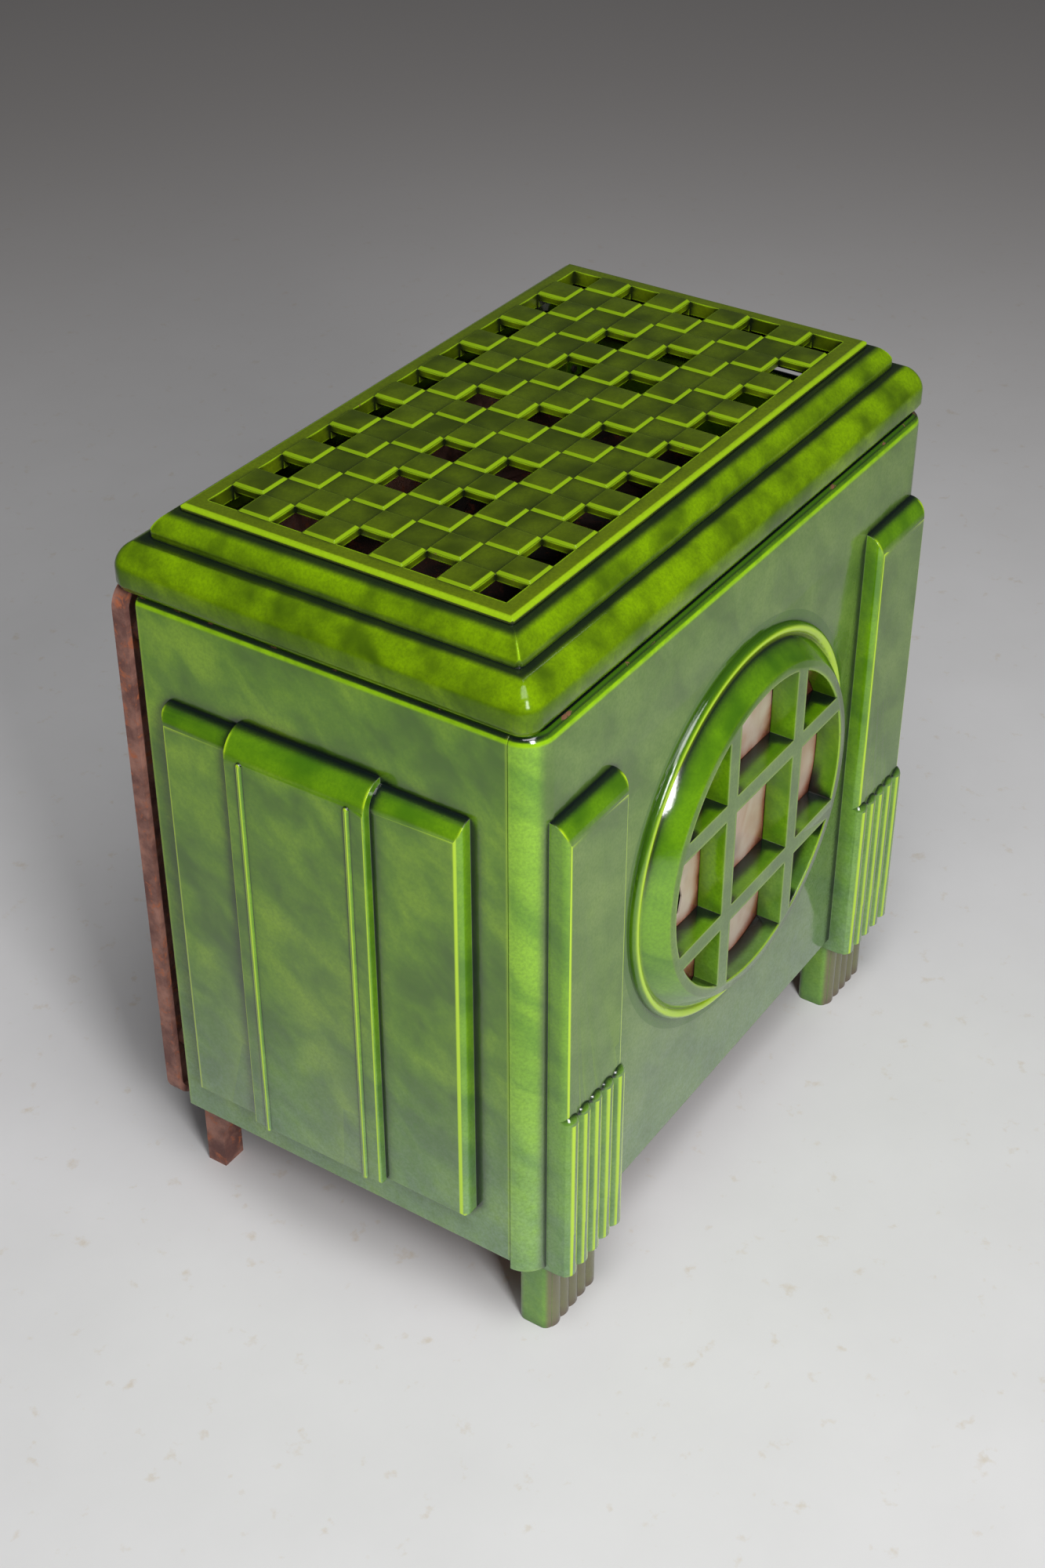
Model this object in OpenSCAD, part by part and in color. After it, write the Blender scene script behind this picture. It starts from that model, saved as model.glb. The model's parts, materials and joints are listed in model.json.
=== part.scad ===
// Enamelled cast iron heating stove with an openwork lid and a round mica window.
// Millimetres. The front looks along -Y, the left side is at -X, the floor is z = 0.
// Everything is set out from the middle of the grille plate, then the whole stove is
// moved along Y so that the origin is on the floor under the middle of its full depth.

/* [Top grille] */
// Side of one square of the openwork
cell = 27; // [25:0.5:29]
// Squares across the width
cells_wide = 17; // [17:4:21]
// Squares from front to back
cells_deep = 9; // [9:4:13]
// Plain rim outside the squares
rim_w = 13.5; // [11:0.5:16]
// Thickness of the rim and of the sunk squares
rim_t = 5; // [4:0.5:6]
// Height of a raised square above the rim
tile_rise = 1.8; // [1:0.1:2.5]
// Slope round the top of a raised square
tile_edge = 1.6; // [0.8:0.1:2.4]
// Rounding of the rim's outer edge, seen from above
rim_round = 6; // [4:0.5:8]
// Depth of the ribs under the plate
rib_depth = 6; // [3:0.5:8]

/* [Cornice] */
// Height of the cornice moulding
cornice_h = 54; // [48:1:60]
// Width of the upper roll of the moulding
roll1_w = 16.2; // [13:0.1:18]
// Height of the upper roll
roll1_h = 19; // [15:0.5:22]
// Width of the lower roll
roll2_w = 21.3; // [17:0.1:24]
// Height of the lower roll
roll2_h = 19.7; // [16:0.1:23]
// Upright band under the lower roll
band_h = 11; // [8:0.5:14]
// Plan radius of the lower roll's corners
cornice_r = 15; // [12:0.5:16]
// Plan radius of the upper roll's corners
roll1_r = 6.5; // [5:0.5:9]
// How full the rolls are: 2 is a true ellipse, less is flatter
fullness = 1.7; // [1.5:0.1:2]
// Gap between the cornice and the panels
lid_gap = 1; // [0.8:0.1:1.5]

/* [Casing] */
// Height of the panels' lower edge above the floor
casing_bottom = 81; // [76:1:90]
// Height of the panels from lower to upper edge
casing_h = 467.5; // [456:0.5:476]
// How far a side panel stands outside the grille plate
side_over = 35; // [33:0.5:40]
// How far the front stands outside the grille plate
front_over = 40.5; // [39:0.5:44]
// Wall of the enamelled castings
wall = 6; // [5:0.5:7]
// Radius of the two front corners
corner_r = 21.5; // [16:0.5:24]
// Rounding along the upper edge of the panels
brow_r = 9; // [7:1:9]
// Width of the flange along the panels' upper edge, inside
flange_w = 14; // [14:0.5:18]
// Seam between the front and a side panel
seam = 0.4; // [0.3:0.1:0.8]
// How far a side panel runs behind the grille plate
side_back = 16; // [12:0.5:20]
// How far the corner columns hang below the panels
column_drop = 8; // [4:0.5:10]

/* [Side panel relief] */
// Relief of the sunk fields
field_rise = 13.5; // [10:0.5:16]
// Extra relief of the middle field
middle_rise = 6.7; // [4:0.1:8]
// Bare margin in front of the relief
field_front = 29.5; // [26:0.5:36]
// Bare margin behind the relief
field_rear = 22.5; // [18:0.5:30]
// Bare margin above the relief
field_top = 76.5; // [66:0.5:86]
// Bare margin below the relief
field_foot = 39; // [34:1:46]
// Width of the middle field
middle_w = 119; // [100:1:130]
// Middle of the middle field, behind the middle of the grille
middle_y = 6.7; // [-5:0.1:15]
// Radius of the two beads
bead_r = 2.3; // [1.5:0.1:3]
// Distance of a bead from the edge of the middle field
bead_in = 14; // [10:0.5:18]

/* [Pilasters and feet] */
// Width of a pilaster
pil_w = 77; // [70:0.5:80]
// Distance of a pilaster from the stove's side
pil_in = 16.5; // [14:0.5:20]
// How far a pilaster stands proud of the front
pil_rise = 14.8; // [11:0.1:17]
// Bare margin above a pilaster
pil_top = 69.5; // [60:0.5:80]
// Height of the rounded head of a pilaster
pil_head = 19.5; // [15:0.5:24]
// How far a pilaster hangs below the panels
pil_drop = 12; // [8:0.5:14]
// Height of the reeds above the pilaster's lower end
reed_h = 158; // [140:1:180]
// Reeds on each pilaster
reeds = 5; // [4:1:6]
// How far a reed stands proud of the pilaster
reed_rise = 4.6; // [3:0.1:6]
// Width of a front foot
foot_w = 70; // [62:0.5:72]
// Depth of a front foot
foot_d = 28; // [24:0.5:34]
// Reeds are this proud on a foot
foot_reed = 1.8; // [1:0.1:2.5]

/* [Round window] */
// Height of the window's middle above the floor
window_z = 320; // [310:1:330]
// Radius of the opening
window_r = 125; // [118:0.5:126]
// How far the window ring stands proud of the front
ring_rise = 20.3; // [16:0.1:24]
// Outer radius of the ring at the front plate
ring_r = 158; // [154:0.5:162]
// Width of the flat face of the ring
ring_face = 7.8; // [6:0.1:10]
// Radius of the bead round the foot of the ring
ring_bead = 4.5; // [3:0.1:6]
// Width of a glazing bar
bar_w = 15.4; // [13:0.1:17]
// Distance of a bar from the window's middle
bar_off = 50; // [44:0.5:54]
// Thickness of the mica
mica_t = 1.2; // [0.8:0.1:1.5]

/* [Back] */
// Open gap between the side panels and the back casting
back_gap = 11; // [8:0.5:14]
// Depth of the back casting's rim
tray_d = 11.6; // [9:0.1:14]
// Thickness of the back casting and its rim
tray_t = 5; // [4:0.5:6]
// Corner radius of the back casting
tray_r = 19; // [12:0.5:24]

/* [Lid hinge] */
// Distance of each lid hinge from the stove's middle
hinge_x = 175; // [150:1:190]
// Radius of the hinge pins
hinge_pin_r = 4; // [3:0.5:5]
// Radius of the hinge eyes
hinge_eye_r = 9; // [8:0.5:10]
// Width of the lid's hinge lugs
lug_w = 16; // [12:1:20]
// Width of each ear on the back casting
ear_w = 9; // [7:0.5:12]

/* [Fire chamber] */
// Outer width of the fire chamber
fire_w = 300; // [290:1:310]
// Distance of the chamber's front wall behind the stove's front
fire_in = 40; // [36:1:46]
// Outer depth of the fire chamber
fire_d = 236; // [230:1:246]
// Walls of the fire chamber
fire_t = 6; // [5:0.5:7]
// Height of the cooking plate's underside above the floor
hob_z = 516; // [508:1:520]
// Thickness of the cooking plate
hob_t = 8; // [6:0.5:9]
// Radius of the feed hole
feed_r = 70; // [60:1:72]
// Thickness of the firebricks
brick_t = 25; // [22:1:28]
// Distance of the firebricks' top below the flue
brick_under = 39; // [30:1:50]
// Thickness of the baffle
baffle_t = 8; // [6:0.5:10]
// Distance of the baffle's front edge behind the chamber's front wall
baffle_in = 90; // [80:1:120]
// Thickness of the base plate
base_t = 6; // [5:0.5:8]

/* [Flue] */
// Outer radius of the flue spigot
flue_r = 62; // [58:0.5:63]
// Wall of the flue spigot
flue_t = 5; // [4:0.5:6]
// Height of the shoulder that stops the stove pipe
flue_step = 2; // [1.5:0.5:3]
// Height of the flue above the floor
flue_z = 425; // [410:1:430]
// How far the spigot stands out of the back
flue_out = 60; // [56:1:70]
// Distance of the damper's axis behind the back
damper_out = 12; // [11:0.5:13]
// Radius of the damper's spindle
spindle_r = 4; // [3:0.5:5]

/* [Ash and grate] */
// Distance of the grate opening from the side firebricks
grate_in = 19; // [16:1:26]
// Depth of the grate opening
grate_d = 150; // [140:1:156]
// Travel of the shaking grate
shake = 20; // [10:1:24]
// How far the ash box stands out beyond the fire chamber on each side
ash_over = 10; // [6:1:14]
// Clearance of the ash box above the floor
ash_z = 22; // [18:1:26]
// Distance of the ash box behind the stove's front
ash_in = 66; // [60:1:70]
// Outer depth of the ash box
ash_d = 206; // [190:1:215]
// Sheet thickness of the ash box and the ash pan
sheet = 2; // [1.5:0.5:2.5]
// Radius of the shaker rod
rod_r = 4; // [3:0.5:4.5]

/* [Hidden] */
$fn = 64;

// Clearances
rest_gap = 0.3;         // between pieces of two moving bodies that rest on each other
fit = 0.05;             // radial running fit of a pin
slack = 0.3;            // side play between a lug and its ears
eps = 0.01;

// Where the main faces are, from the middle of the grille plate
plate_hx = cells_wide * cell / 2 + rim_w;
plate_hy = cells_deep * cell / 2 + rim_w;
casing_hx = plate_hx + side_over;
front_y = -(plate_hy + front_over);
seam_y = front_y + corner_r;
side_end = plate_hy + side_back;
tray_front = side_end + back_gap;
tray_back = tray_front + tray_d;
casing_top = casing_bottom + casing_h;
cornice_z = casing_top + lid_gap;
plate_z = cornice_z + cornice_h;
ring_y = front_y - ring_rise;
inner_front = front_y + wall;
fire_front = front_y + fire_in;
fire_back = fire_front + fire_d;
base_z = casing_bottom + 1;
floor_z = base_z + base_t;
spigot_end = tray_back + flue_out;
frame_shift = -(ring_y + spigot_end) / 2;
ash_w = fire_w + 2 * ash_over;
grate_w = fire_w - 2 * (fire_t + brick_t + grate_in);
brick_h = flue_z - flue_r - brick_under - floor_z;

// Points of a quarter roll: full width rx, full height rz, from its outer foot to its top,
// or only its part between two angles
function roll(rx, rz, n, power, a0 = 0, a1 = 90) =
    [for (i = [0:n]) let (a = a0 + (a1 - a0) * i / n)
        [rx * (1 - pow(cos(a), 2 / power)), rz * pow(sin(a), 2 / power)]];
// Angle at which a roll of width rx has come in by the distance d
function roll_angle(d, rx, power) = acos(pow(1 - d / rx, power / 2));

module along_x(len) {
    rotate([90, 0, 90]) linear_extrude(len, center = true) children();
}
module along_y(len) {
    rotate([90, 0, 0]) linear_extrude(len, center = true) children();
}
module mirror_copy() {
    children();
    mirror([1, 0, 0]) children();
}
module y_rod(r, y0, y1) {
    translate([0, y0, 0]) rotate([-90, 0, 0]) cylinder(r = r, h = y1 - y0);
}
module x_rod(r, x0, x1) {
    translate([x0, 0, 0]) rotate([0, 90, 0]) cylinder(r = r, h = x1 - x0);
}
// A box given by two corners
module span(a, b) {
    translate(a) cube(b - a);
}
// Section of a slab: half width h, outline points [inset, height] from the bottom up
function slab_section(h, prof) = concat(
    [for (q = prof) [h - q[0], q[1]]],
    [for (i = [len(prof) - 1:-1:0]) [prof[i][0] - h, prof[i][1]]]);
// Slab with mitred corners: half sizes hx and hy
module mitred_slab(hx, hy, prof) {
    intersection() {
        along_x(2 * hx) polygon(slab_section(hy, prof));
        along_y(2 * hy) polygon(slab_section(hx, prof));
    }
}
// Slab whose corners are revolved at plan radius r
module turned_slab(hx, hy, r, prof) {
    low = prof[0][1];
    high = prof[len(prof) - 1][1];
    along_x(2 * (hx - r)) polygon(slab_section(hy, prof));
    along_y(2 * (hy - r)) polygon(slab_section(hx, prof));
    for (sx = [-1, 1], sy = [-1, 1])
        translate([sx * (hx - r), sy * (hy - r), 0])
            rotate_extrude()
                polygon(concat([[0, low]], [for (q = prof) [r - q[0], q[1]]], [[0, high]]));
}
// Upright prism with a rounded rectangle for its plan
module post(hx, hy, r, z0, z1) {
    translate([0, 0, z0]) linear_extrude(z1 - z0) {
        square([2 * hx, 2 * (hy - r)], center = true);
        square([2 * (hx - r), 2 * hy], center = true);
        for (sx = [-1, 1], sy = [-1, 1])
            translate([sx * (hx - r), sy * (hy - r)]) circle(r);
    }
}

// Top grille: raised squares, sunk squares and square holes
half_i = (cells_wide - 1) / 2;
half_j = (cells_deep - 1) / 2;
function even(n) = n % 2 == 0;
function on_edge(i, j) = abs(i) == half_i || abs(j) == half_j;
function is_hole(i, j) =
    (on_edge(i, j) && even(i) && even(j))
    || (abs(j) == 1 && (abs(i) == 3 || abs(i) == 5))
    || (i == 0 && (j == 0 || abs(j) == 2));
function is_raised(i, j) = !even(i + j);
tile_side = cell - 0.4;
hole_side = cell - 1.4;

module tile() {
    translate([0, 0, plate_z + rim_t - eps]) rotate(45)
        cylinder(d1 = tile_side * sqrt(2), d2 = (tile_side - 2 * tile_edge) * sqrt(2),
            h = tile_rise + eps, $fn = 4);
}
ledge_w = 9;
ledge_t = wall;
rib_w = 5;
rib_hx = plate_hx - ledge_w - 1.5;
rib_hy = plate_hy - ledge_w - 1.5;
rim_profile = concat([[0, plate_z]],
    [for (q = roll(rim_round, rim_t - 0.8, 6, 2)) [q[0], plate_z + 0.8 + q[1]]]);
screw_x = plate_hx - 4.5;
grille_screw_r = 2;
screw_head_r = 3.8;
screw_head_h = 3;
module top_grille() {
    color("olivedrab") difference() {
        union() {
            intersection() {
                mitred_slab(plate_hx, plate_hy, rim_profile);
                post(plate_hx, plate_hy, 3, plate_z, plate_z + rim_t);
            }
            for (i = [-half_i:half_i], j = [-half_j:half_j])
                if (is_raised(i, j)) translate([i * cell, j * cell, 0]) tile();
            difference() {
                span([-rib_hx, -rib_hy, plate_z - rib_depth], [rib_hx, rib_hy, plate_z + eps]);
                span([-rib_hx + rib_w, -rib_hy + rib_w, plate_z - rib_depth - 1],
                    [rib_hx - rib_w, rib_hy - rib_w, plate_z + 1]);
            }
        }
        for (i = [-half_i:half_i], j = [-half_j:half_j])
            if (is_hole(i, j))
                translate([i * cell, j * cell, plate_z])
                    cube([hole_side, hole_side, 4 * rib_depth], center = true);
        for (sx = [-1, 1], sy = [-1, 1])
            translate([sx * screw_x, sy * plate_hy / 2, plate_z - 1])
                cylinder(r = grille_screw_r + fit, h = 4);
    }
}
module grille_screws() {
    color("dimgray") for (sx = [-1, 1], sy = [-1, 1])
        translate([sx * screw_x, sy * plate_hy / 2, plate_z - ledge_t]) {
            cylinder(r = grille_screw_r, h = ledge_t + 2.8);
            translate([0, 0, -screw_head_h]) cylinder(r = screw_head_r, h = screw_head_h);
        }
}

// Cornice: a hollow frame with two rolls, open under the grille
roll1_foot = plate_z - roll1_h;
roll2_top = roll1_foot + 0.6;
roll2_foot = roll2_top - roll2_h;
tuck = 3;
band_foot = roll2_foot - band_h;
roll1_hx = plate_hx + roll1_w;
roll1_hy = plate_hy + roll1_w;
cornice_hx = roll1_hx + roll2_w;
cornice_hy = roll1_hy + roll2_w;
roll1_profile = concat([[0, band_foot]],
    [for (q = roll(roll1_w, roll1_h, 9, fullness)) [q[0], roll1_foot + q[1]]]);
// The lower roll turns its corners only as far in as their plan radius, above that they are mitred
turn_in = cornice_r - 0.5;
turn_a = roll_angle(turn_in, roll2_w, fullness);
roll2_lower = concat([[tuck, cornice_z], [0, band_foot]],
    [for (q = roll(roll2_w, roll2_h, 7, fullness, 0, turn_a)) [q[0], roll2_foot + q[1]]]);
turn_z = roll2_lower[len(roll2_lower) - 1][1];
roll2_upper = concat([[turn_in, turn_z - 1]],
    [for (q = roll(roll2_w, roll2_h, 3, fullness, turn_a, 90)) [q[0], roll2_foot + q[1]]]);
// The same moulding one wall further in, for the hollow
roll2_inner = concat([[wall, cornice_z - 1]],
    [for (q = roll(roll2_w - 1, roll2_h - 1, 6, fullness)) [wall + q[0], roll2_foot - wall + 1 + q[1]]]);
roll1_inner = concat([[wall, band_foot - 4]],
    [for (q = roll(roll1_w - 1, roll1_h - 1, 6, fullness))
        [wall + q[0], roll1_foot - wall + 1 + q[1]]]);
pad_s = 16;
pad_w = 6;
pad_foot = 3;
pad_root = 12;
pad_x = casing_hx - flange_w + 1;
pad_y = plate_hy - 40;
hinge_y = tray_back + hinge_eye_r + 1;
hinge_z = casing_top - 1;
lug_root = 12;
module lid_lug() {
    difference() {
        translate([hinge_x, 0, 0]) along_x(lug_w) union() {
            translate([hinge_y, hinge_z]) circle(hinge_eye_r);
            polygon([[hinge_y, hinge_z + hinge_eye_r], [hinge_y - 3, hinge_z + hinge_eye_r],
                [cornice_hy - tuck - 2, band_foot + lug_root], [cornice_hy - wall - 1, band_foot + lug_root],
                [cornice_hy - wall - 1, cornice_z + 0.4], [tray_back + 0.4, cornice_z + 0.4],
                [hinge_y - hinge_eye_r + 1.2, hinge_z + 3]]);
        }
        translate([0, hinge_y, hinge_z]) x_rod(hinge_pin_r + fit, hinge_x - lug_w, hinge_x + lug_w);
    }
}
module cornice() {
    color("olivedrab") {
        difference() {
            union() {
                turned_slab(cornice_hx, cornice_hy, cornice_r, roll2_lower);
                mitred_slab(cornice_hx, cornice_hy, roll2_upper);
                intersection() {
                    mitred_slab(roll1_hx, roll1_hy, roll1_profile);
                    post(roll1_hx, roll1_hy, roll1_r, band_foot, plate_z);
                }
            }
            intersection() {
                mitred_slab(cornice_hx, cornice_hy, roll2_inner);
                post(cornice_hx - wall, cornice_hy - wall, cornice_r, cornice_z - 2, plate_z);
            }
            mitred_slab(roll1_hx, roll1_hy, roll1_inner);
            span([-plate_hx + ledge_w, -plate_hy + ledge_w, band_foot],
                [plate_hx - ledge_w, plate_hy - ledge_w, plate_z + 1]);
            // Hole and spot face of each grille screw
            for (sx = [-1, 1], sy = [-1, 1])
                translate([sx * screw_x, sy * plate_hy / 2, plate_z - ledge_t]) {
                    translate([0, 0, -ledge_t]) cylinder(r = grille_screw_r + fit, h = 3 * ledge_t);
                    translate([0, 0, -2 * screw_head_h])
                        cylinder(r = screw_head_r + 0.4, h = 2 * screw_head_h);
                }
        }
        mirror_copy() for (s = [-1, 1]) {
            span([pad_x, s * pad_y - pad_s / 2, casing_top + rest_gap],
                [pad_x + pad_w, s * pad_y + pad_s / 2, cornice_z + pad_root]);
            span([pad_x, s * pad_y - pad_s / 2, cornice_z + pad_foot],
                [cornice_hx - wall + 1, s * pad_y + pad_s / 2, cornice_z + pad_root]);
        }
        mirror_copy() lid_lug();
    }
}
module hinge_pins() {
    color("dimgray") mirror_copy() translate([0, hinge_y, hinge_z]) {
        x_rod(hinge_pin_r, hinge_x - lug_w / 2 - slack - ear_w, hinge_x + lug_w / 2 + slack + ear_w);
        x_rod(hinge_pin_r + 2.5, hinge_x + lug_w / 2 + slack + ear_w, hinge_x + lug_w / 2 + slack + ear_w + 3);
    }
}

// Enamelled casing: one outline for the front and both sides, drawn past their rear end
overrun = 60;
module casing_outline(z0) {
    mid = (front_y + side_end + overrun) / 2;
    prof = concat([[0, z0]],
        [for (q = roll(brow_r, brow_r, 6, 2)) [q[0], casing_top - brow_r + q[1]]]);
    translate([0, mid, 0]) turned_slab(casing_hx, mid - front_y, corner_r, prof);
}
module casing_hollow(z0) {
    far = side_end + overrun + corner_r;
    translate([0, (inner_front + far) / 2, 0])
        post(casing_hx - wall, (far - inner_front) / 2, corner_r - wall, z0, casing_top - wall);
    span([-casing_hx + flange_w, front_y + flange_w, z0], [casing_hx - flange_w, far, casing_top + 1]);
}
bolt_r = 3;
nut_r = 5.8;
nut_t = 5;
lug_s = 18;
bolt_x = casing_hx - wall - 14;
front_lug = 8;
rear_lug = 12;
bolt_zs = [casing_bottom + 50, casing_top - 42];
// Lug inside a panel, from the bolt's inner side to the wall, bored along Y
module y_lug(y0, y1, z) {
    difference() {
        span([bolt_x - lug_s / 2, y0, z - lug_s / 2], [casing_hx - wall + 0.5, y1, z + lug_s / 2]);
        translate([bolt_x, 0, z]) y_rod(bolt_r + fit, y0 - 1, y1 + 1);
    }
}
// Pad inside a panel, standing on the base plate
screw_r = 3;
pad_h = 14;
side_pad_x = casing_hx - wall - 8;
side_pads = [seam_y + 40, side_end - 30];
front_pad_x = casing_hx - pil_in - pil_w - 30;
front_pad_y = inner_front + 9;
module base_pad(x, y) {
    difference() {
        span([x - 8, y - 8, floor_z], [x + 8, y + 8, floor_z + pad_h]);
        translate([x, y, floor_z - 1]) cylinder(r = screw_r + fit, h = pad_h - 2);
    }
}

pil_x1 = casing_hx - pil_in;
pil_x0 = pil_x1 - pil_w;
pil_y = front_y - pil_rise;
pil_bottom = casing_bottom - pil_drop;
pil_z = casing_top - pil_top;
pil_edge = 6;
reed_pitch = pil_w / reeds;
reed_half = reed_pitch / 2;
reed_r = (reed_half * reed_half + reed_rise * reed_rise) / (2 * reed_rise);
module pilaster() {
    head = [for (q = roll(pil_rise, pil_head, 9, 2)) [pil_y + q[0], pil_z - pil_head + q[1]]];
    intersection() {
        translate([(pil_x0 + pil_x1) / 2, 0, 0]) along_x(pil_w)
            polygon(concat([[inner_front, pil_bottom], [pil_y + 2, pil_bottom], [pil_y, pil_bottom + 4]],
                head, [[inner_front, pil_z]]));
        translate([(pil_x0 + pil_x1) / 2, pil_y + 30, 0])
            post(pil_w / 2, 30, pil_edge, pil_bottom - 1, pil_z + 1);
    }
    intersection() {
        for (k = [0:reeds - 1])
            translate([pil_x0 + (k + 0.5) * reed_pitch, pil_y - reed_rise + reed_r, 0]) {
                translate([0, 0, pil_bottom + 1]) cylinder(r = reed_r, h = reed_h - reed_r);
                translate([0, 0, pil_bottom + 1 + reed_h - reed_r]) sphere(reed_r);
            }
        span([pil_x0, pil_y - reed_rise - 1, pil_bottom + 1], [pil_x1, inner_front, pil_z]);
    }
}
module pilaster_hollow() {
    span([pil_x0 + wall, pil_y + wall, pil_bottom + wall],
        [pil_x1 - wall, inner_front + 1, pil_z - pil_head - 4]);
}
// Ring of the window, turned about the window's axis
mica_seat = window_r + 11;
module window_ring() {
    rise = ring_rise + wall;
    face_r = window_r + ring_face;
    bead_mid = ring_r - ring_bead;
    base = wall;
    band = [for (i = [0:6]) let (t = i / 6)
        [bead_mid - ring_bead * 0.8 + (face_r + 1.2 - bead_mid + ring_bead * 0.8) * t,
            base + 2 + (ring_rise - 3) * pow(t, 0.85)]];
    translate([0, inner_front, window_z]) rotate([90, 0, 0]) {
        rotate_extrude($fn = 128) {
            polygon(concat([[window_r, 0], [ring_r, 0], [ring_r, base]], band,
                [[face_r, rise], [window_r + 0.8, rise], [window_r, rise - 0.8]]));
            translate([bead_mid, base + 1]) circle(ring_bead, $fn = 32);
        }
    }
}
module glazing_bars() {
    intersection() {
        translate([0, 0, window_z]) y_rod(window_r + 2, ring_y, front_y);
        for (s = [-1, 1]) {
            span([s * bar_off - bar_w / 2, ring_y, window_z - ring_r],
                [s * bar_off + bar_w / 2, front_y, window_z + ring_r]);
            span([-ring_r, ring_y, window_z + s * bar_off - bar_w / 2],
                [ring_r, front_y, window_z + s * bar_off + bar_w / 2]);
        }
    }
}
clip_r = mica_seat + 6;
module clip_places() {
    for (a = [45:90:315]) translate([0, 0, window_z]) rotate([0, a, 0]) children();
}
column_bottom = casing_bottom - column_drop;
module front_panel() {
    color("olivedrab") {
        difference() {
            union() {
                difference() {
                    intersection() {
                        casing_outline(column_bottom);
                        span([-casing_hx - 1, front_y - 1, 0], [casing_hx + 1, seam_y, casing_top + 1]);
                    }
                    casing_hollow(0);
                    span([-pil_x1, front_y - 1, 0], [pil_x1, seam_y + 1, casing_bottom]);
                }
                mirror_copy() pilaster();
                window_ring();
                mirror_copy() {
                    for (z = bolt_zs) y_lug(seam_y - front_lug, seam_y, z);
                    base_pad(front_pad_x, front_pad_y);
                    span([front_pad_x - 8, inner_front - 1, floor_z],
                        [front_pad_x + 8, front_pad_y - 7, floor_z + pad_h]);
                }
            }
            mirror_copy() pilaster_hollow();
            translate([0, 0, window_z]) {
                y_rod(window_r, ring_y - 1, inner_front + 1);
                y_rod(mica_seat, front_y, inner_front + 1);
            }
            clip_places() translate([0, 0, clip_r]) y_rod(2 + fit, inner_front - 4, inner_front + 1);
        }
        glazing_bars();
    }
}

// Mica window, made fast from inside
mica_back = front_y + mica_t + 0.1;
module mica_sheets() {
    lap = 0.4;
    third = 2 * bar_off;
    color("tan", 0.8) intersection() {
        translate([0, 0, window_z]) y_rod(mica_seat - 1, front_y, mica_back);
        union() {
            difference() {
                span([-ring_r, front_y + 0.05, 0], [-bar_off - lap, mica_back, 2 * ring_r + window_z]);
                translate([-window_r * 0.72, front_y - 1, window_z - 16]) rotate([-90, 0, 0])
                    linear_extrude(10) polygon([[-9, -24], [3, -17], [8, 2], [5, 16], [-4, 24], [-7, 8]]);
            }
            span([-bar_off + lap, front_y + 0.05, 0], [third - bar_off - lap, mica_back, 2 * ring_r + window_z]);
            span([bar_off + lap, front_y + 0.05, 0], [ring_r, mica_back, 2 * ring_r + window_z]);
        }
    }
}
module mica_ring() {
    color("saddlebrown") difference() {
        translate([0, 0, window_z]) y_rod(mica_seat - 0.5, mica_back + 0.1, inner_front);
        translate([0, 0, window_z]) y_rod(window_r - 4, front_y, inner_front + 1);
    }
}
clip_t = 2.5;
module mica_clips() {
    color("dimgray") clip_places() difference() {
        span([-7, inner_front, mica_seat - 11], [7, inner_front + clip_t, clip_r + 8]);
        translate([0, 0, clip_r]) y_rod(2 + fit, inner_front - 1, inner_front + clip_t + 1);
    }
}
module mica_screws() {
    color("gray") clip_places() translate([0, 0, clip_r]) {
        y_rod(2, inner_front - 3.5, inner_front + clip_t);
        y_rod(4, inner_front + clip_t, inner_front + clip_t + 2.5);
    }
}

// Side panels
field_y0 = seam_y + field_front;
field_y1 = side_end - field_rear;
field_z0 = casing_bottom + field_foot;
field_z1 = casing_top - field_top;
middle_y0 = middle_y - middle_w / 2;
middle_y1 = middle_y + middle_w / 2;
middle_lift = 5;
// Raised field on the left panel, standing out to -X
module raised_field(y0, y1, z1, rise, round_r) {
    mid = (y0 + y1) / 2;
    intersection() {
        translate([0, mid, 0]) along_y(y1 - y0)
            polygon(concat([[-casing_hx + wall / 2, field_z0], [-casing_hx - rise + 1.5, field_z0],
                [-casing_hx - rise, field_z0 + 2]],
                [for (q = roll(rise, rise + 3, 8, 2)) [-casing_hx - rise + q[0], z1 - rise - 3 + q[1]]],
                [[-casing_hx + wall / 2, z1]]));
        translate([-casing_hx, mid, 0]) post(rise, (y1 - y0) / 2, round_r, field_z0 - 1, z1 + 1);
    }
}
module bead(y) {
    x = -casing_hx - field_rise - middle_rise;
    top = field_z1 + middle_lift - 20;
    translate([x + 0.3, y, field_z0 + 1]) cylinder(r = bead_r, h = top - field_z0 - 1, $fn = 24);
    translate([x + 0.3, y, top]) sphere(bead_r, $fn = 24);
}
module left_side() {
    difference() {
        union() {
            difference() {
                intersection() {
                    casing_outline(casing_bottom);
                    span([-casing_hx - 1, seam_y + seam, casing_bottom], [0, side_end, casing_top + 1]);
                }
                casing_hollow(casing_bottom - 1);
            }
            raised_field(field_y0, field_y1, field_z1, field_rise, 6.5);
            raised_field(middle_y0, middle_y1, field_z1 + middle_lift, field_rise + middle_rise, 2);
            bead(middle_y0 + bead_in);
            bead(middle_y1 - bead_in);
            mirror([1, 0, 0]) {
                for (z = bolt_zs) {
                    y_lug(seam_y + seam, seam_y + seam + rear_lug, z);
                    y_lug(side_end - rear_lug, side_end, z);
                }
                for (y = side_pads) base_pad(side_pad_x, y);
            }
        }
        span([-casing_hx - field_rise + wall, field_y0 + wall, field_z0 + wall],
            [-casing_hx + wall + 1, field_y1 - wall, field_z1 - field_rise - 4]);
        span([-casing_hx - field_rise - middle_rise + wall, middle_y0 + wall, field_z0 + wall],
            [-casing_hx + wall + 1, middle_y1 - wall, field_z1 - field_rise - 4]);
    }
}
module left_side_panel() {
    color("olivedrab") left_side();
}
module right_side_panel() {
    color("olivedrab") mirror([1, 0, 0]) left_side();
}
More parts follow.
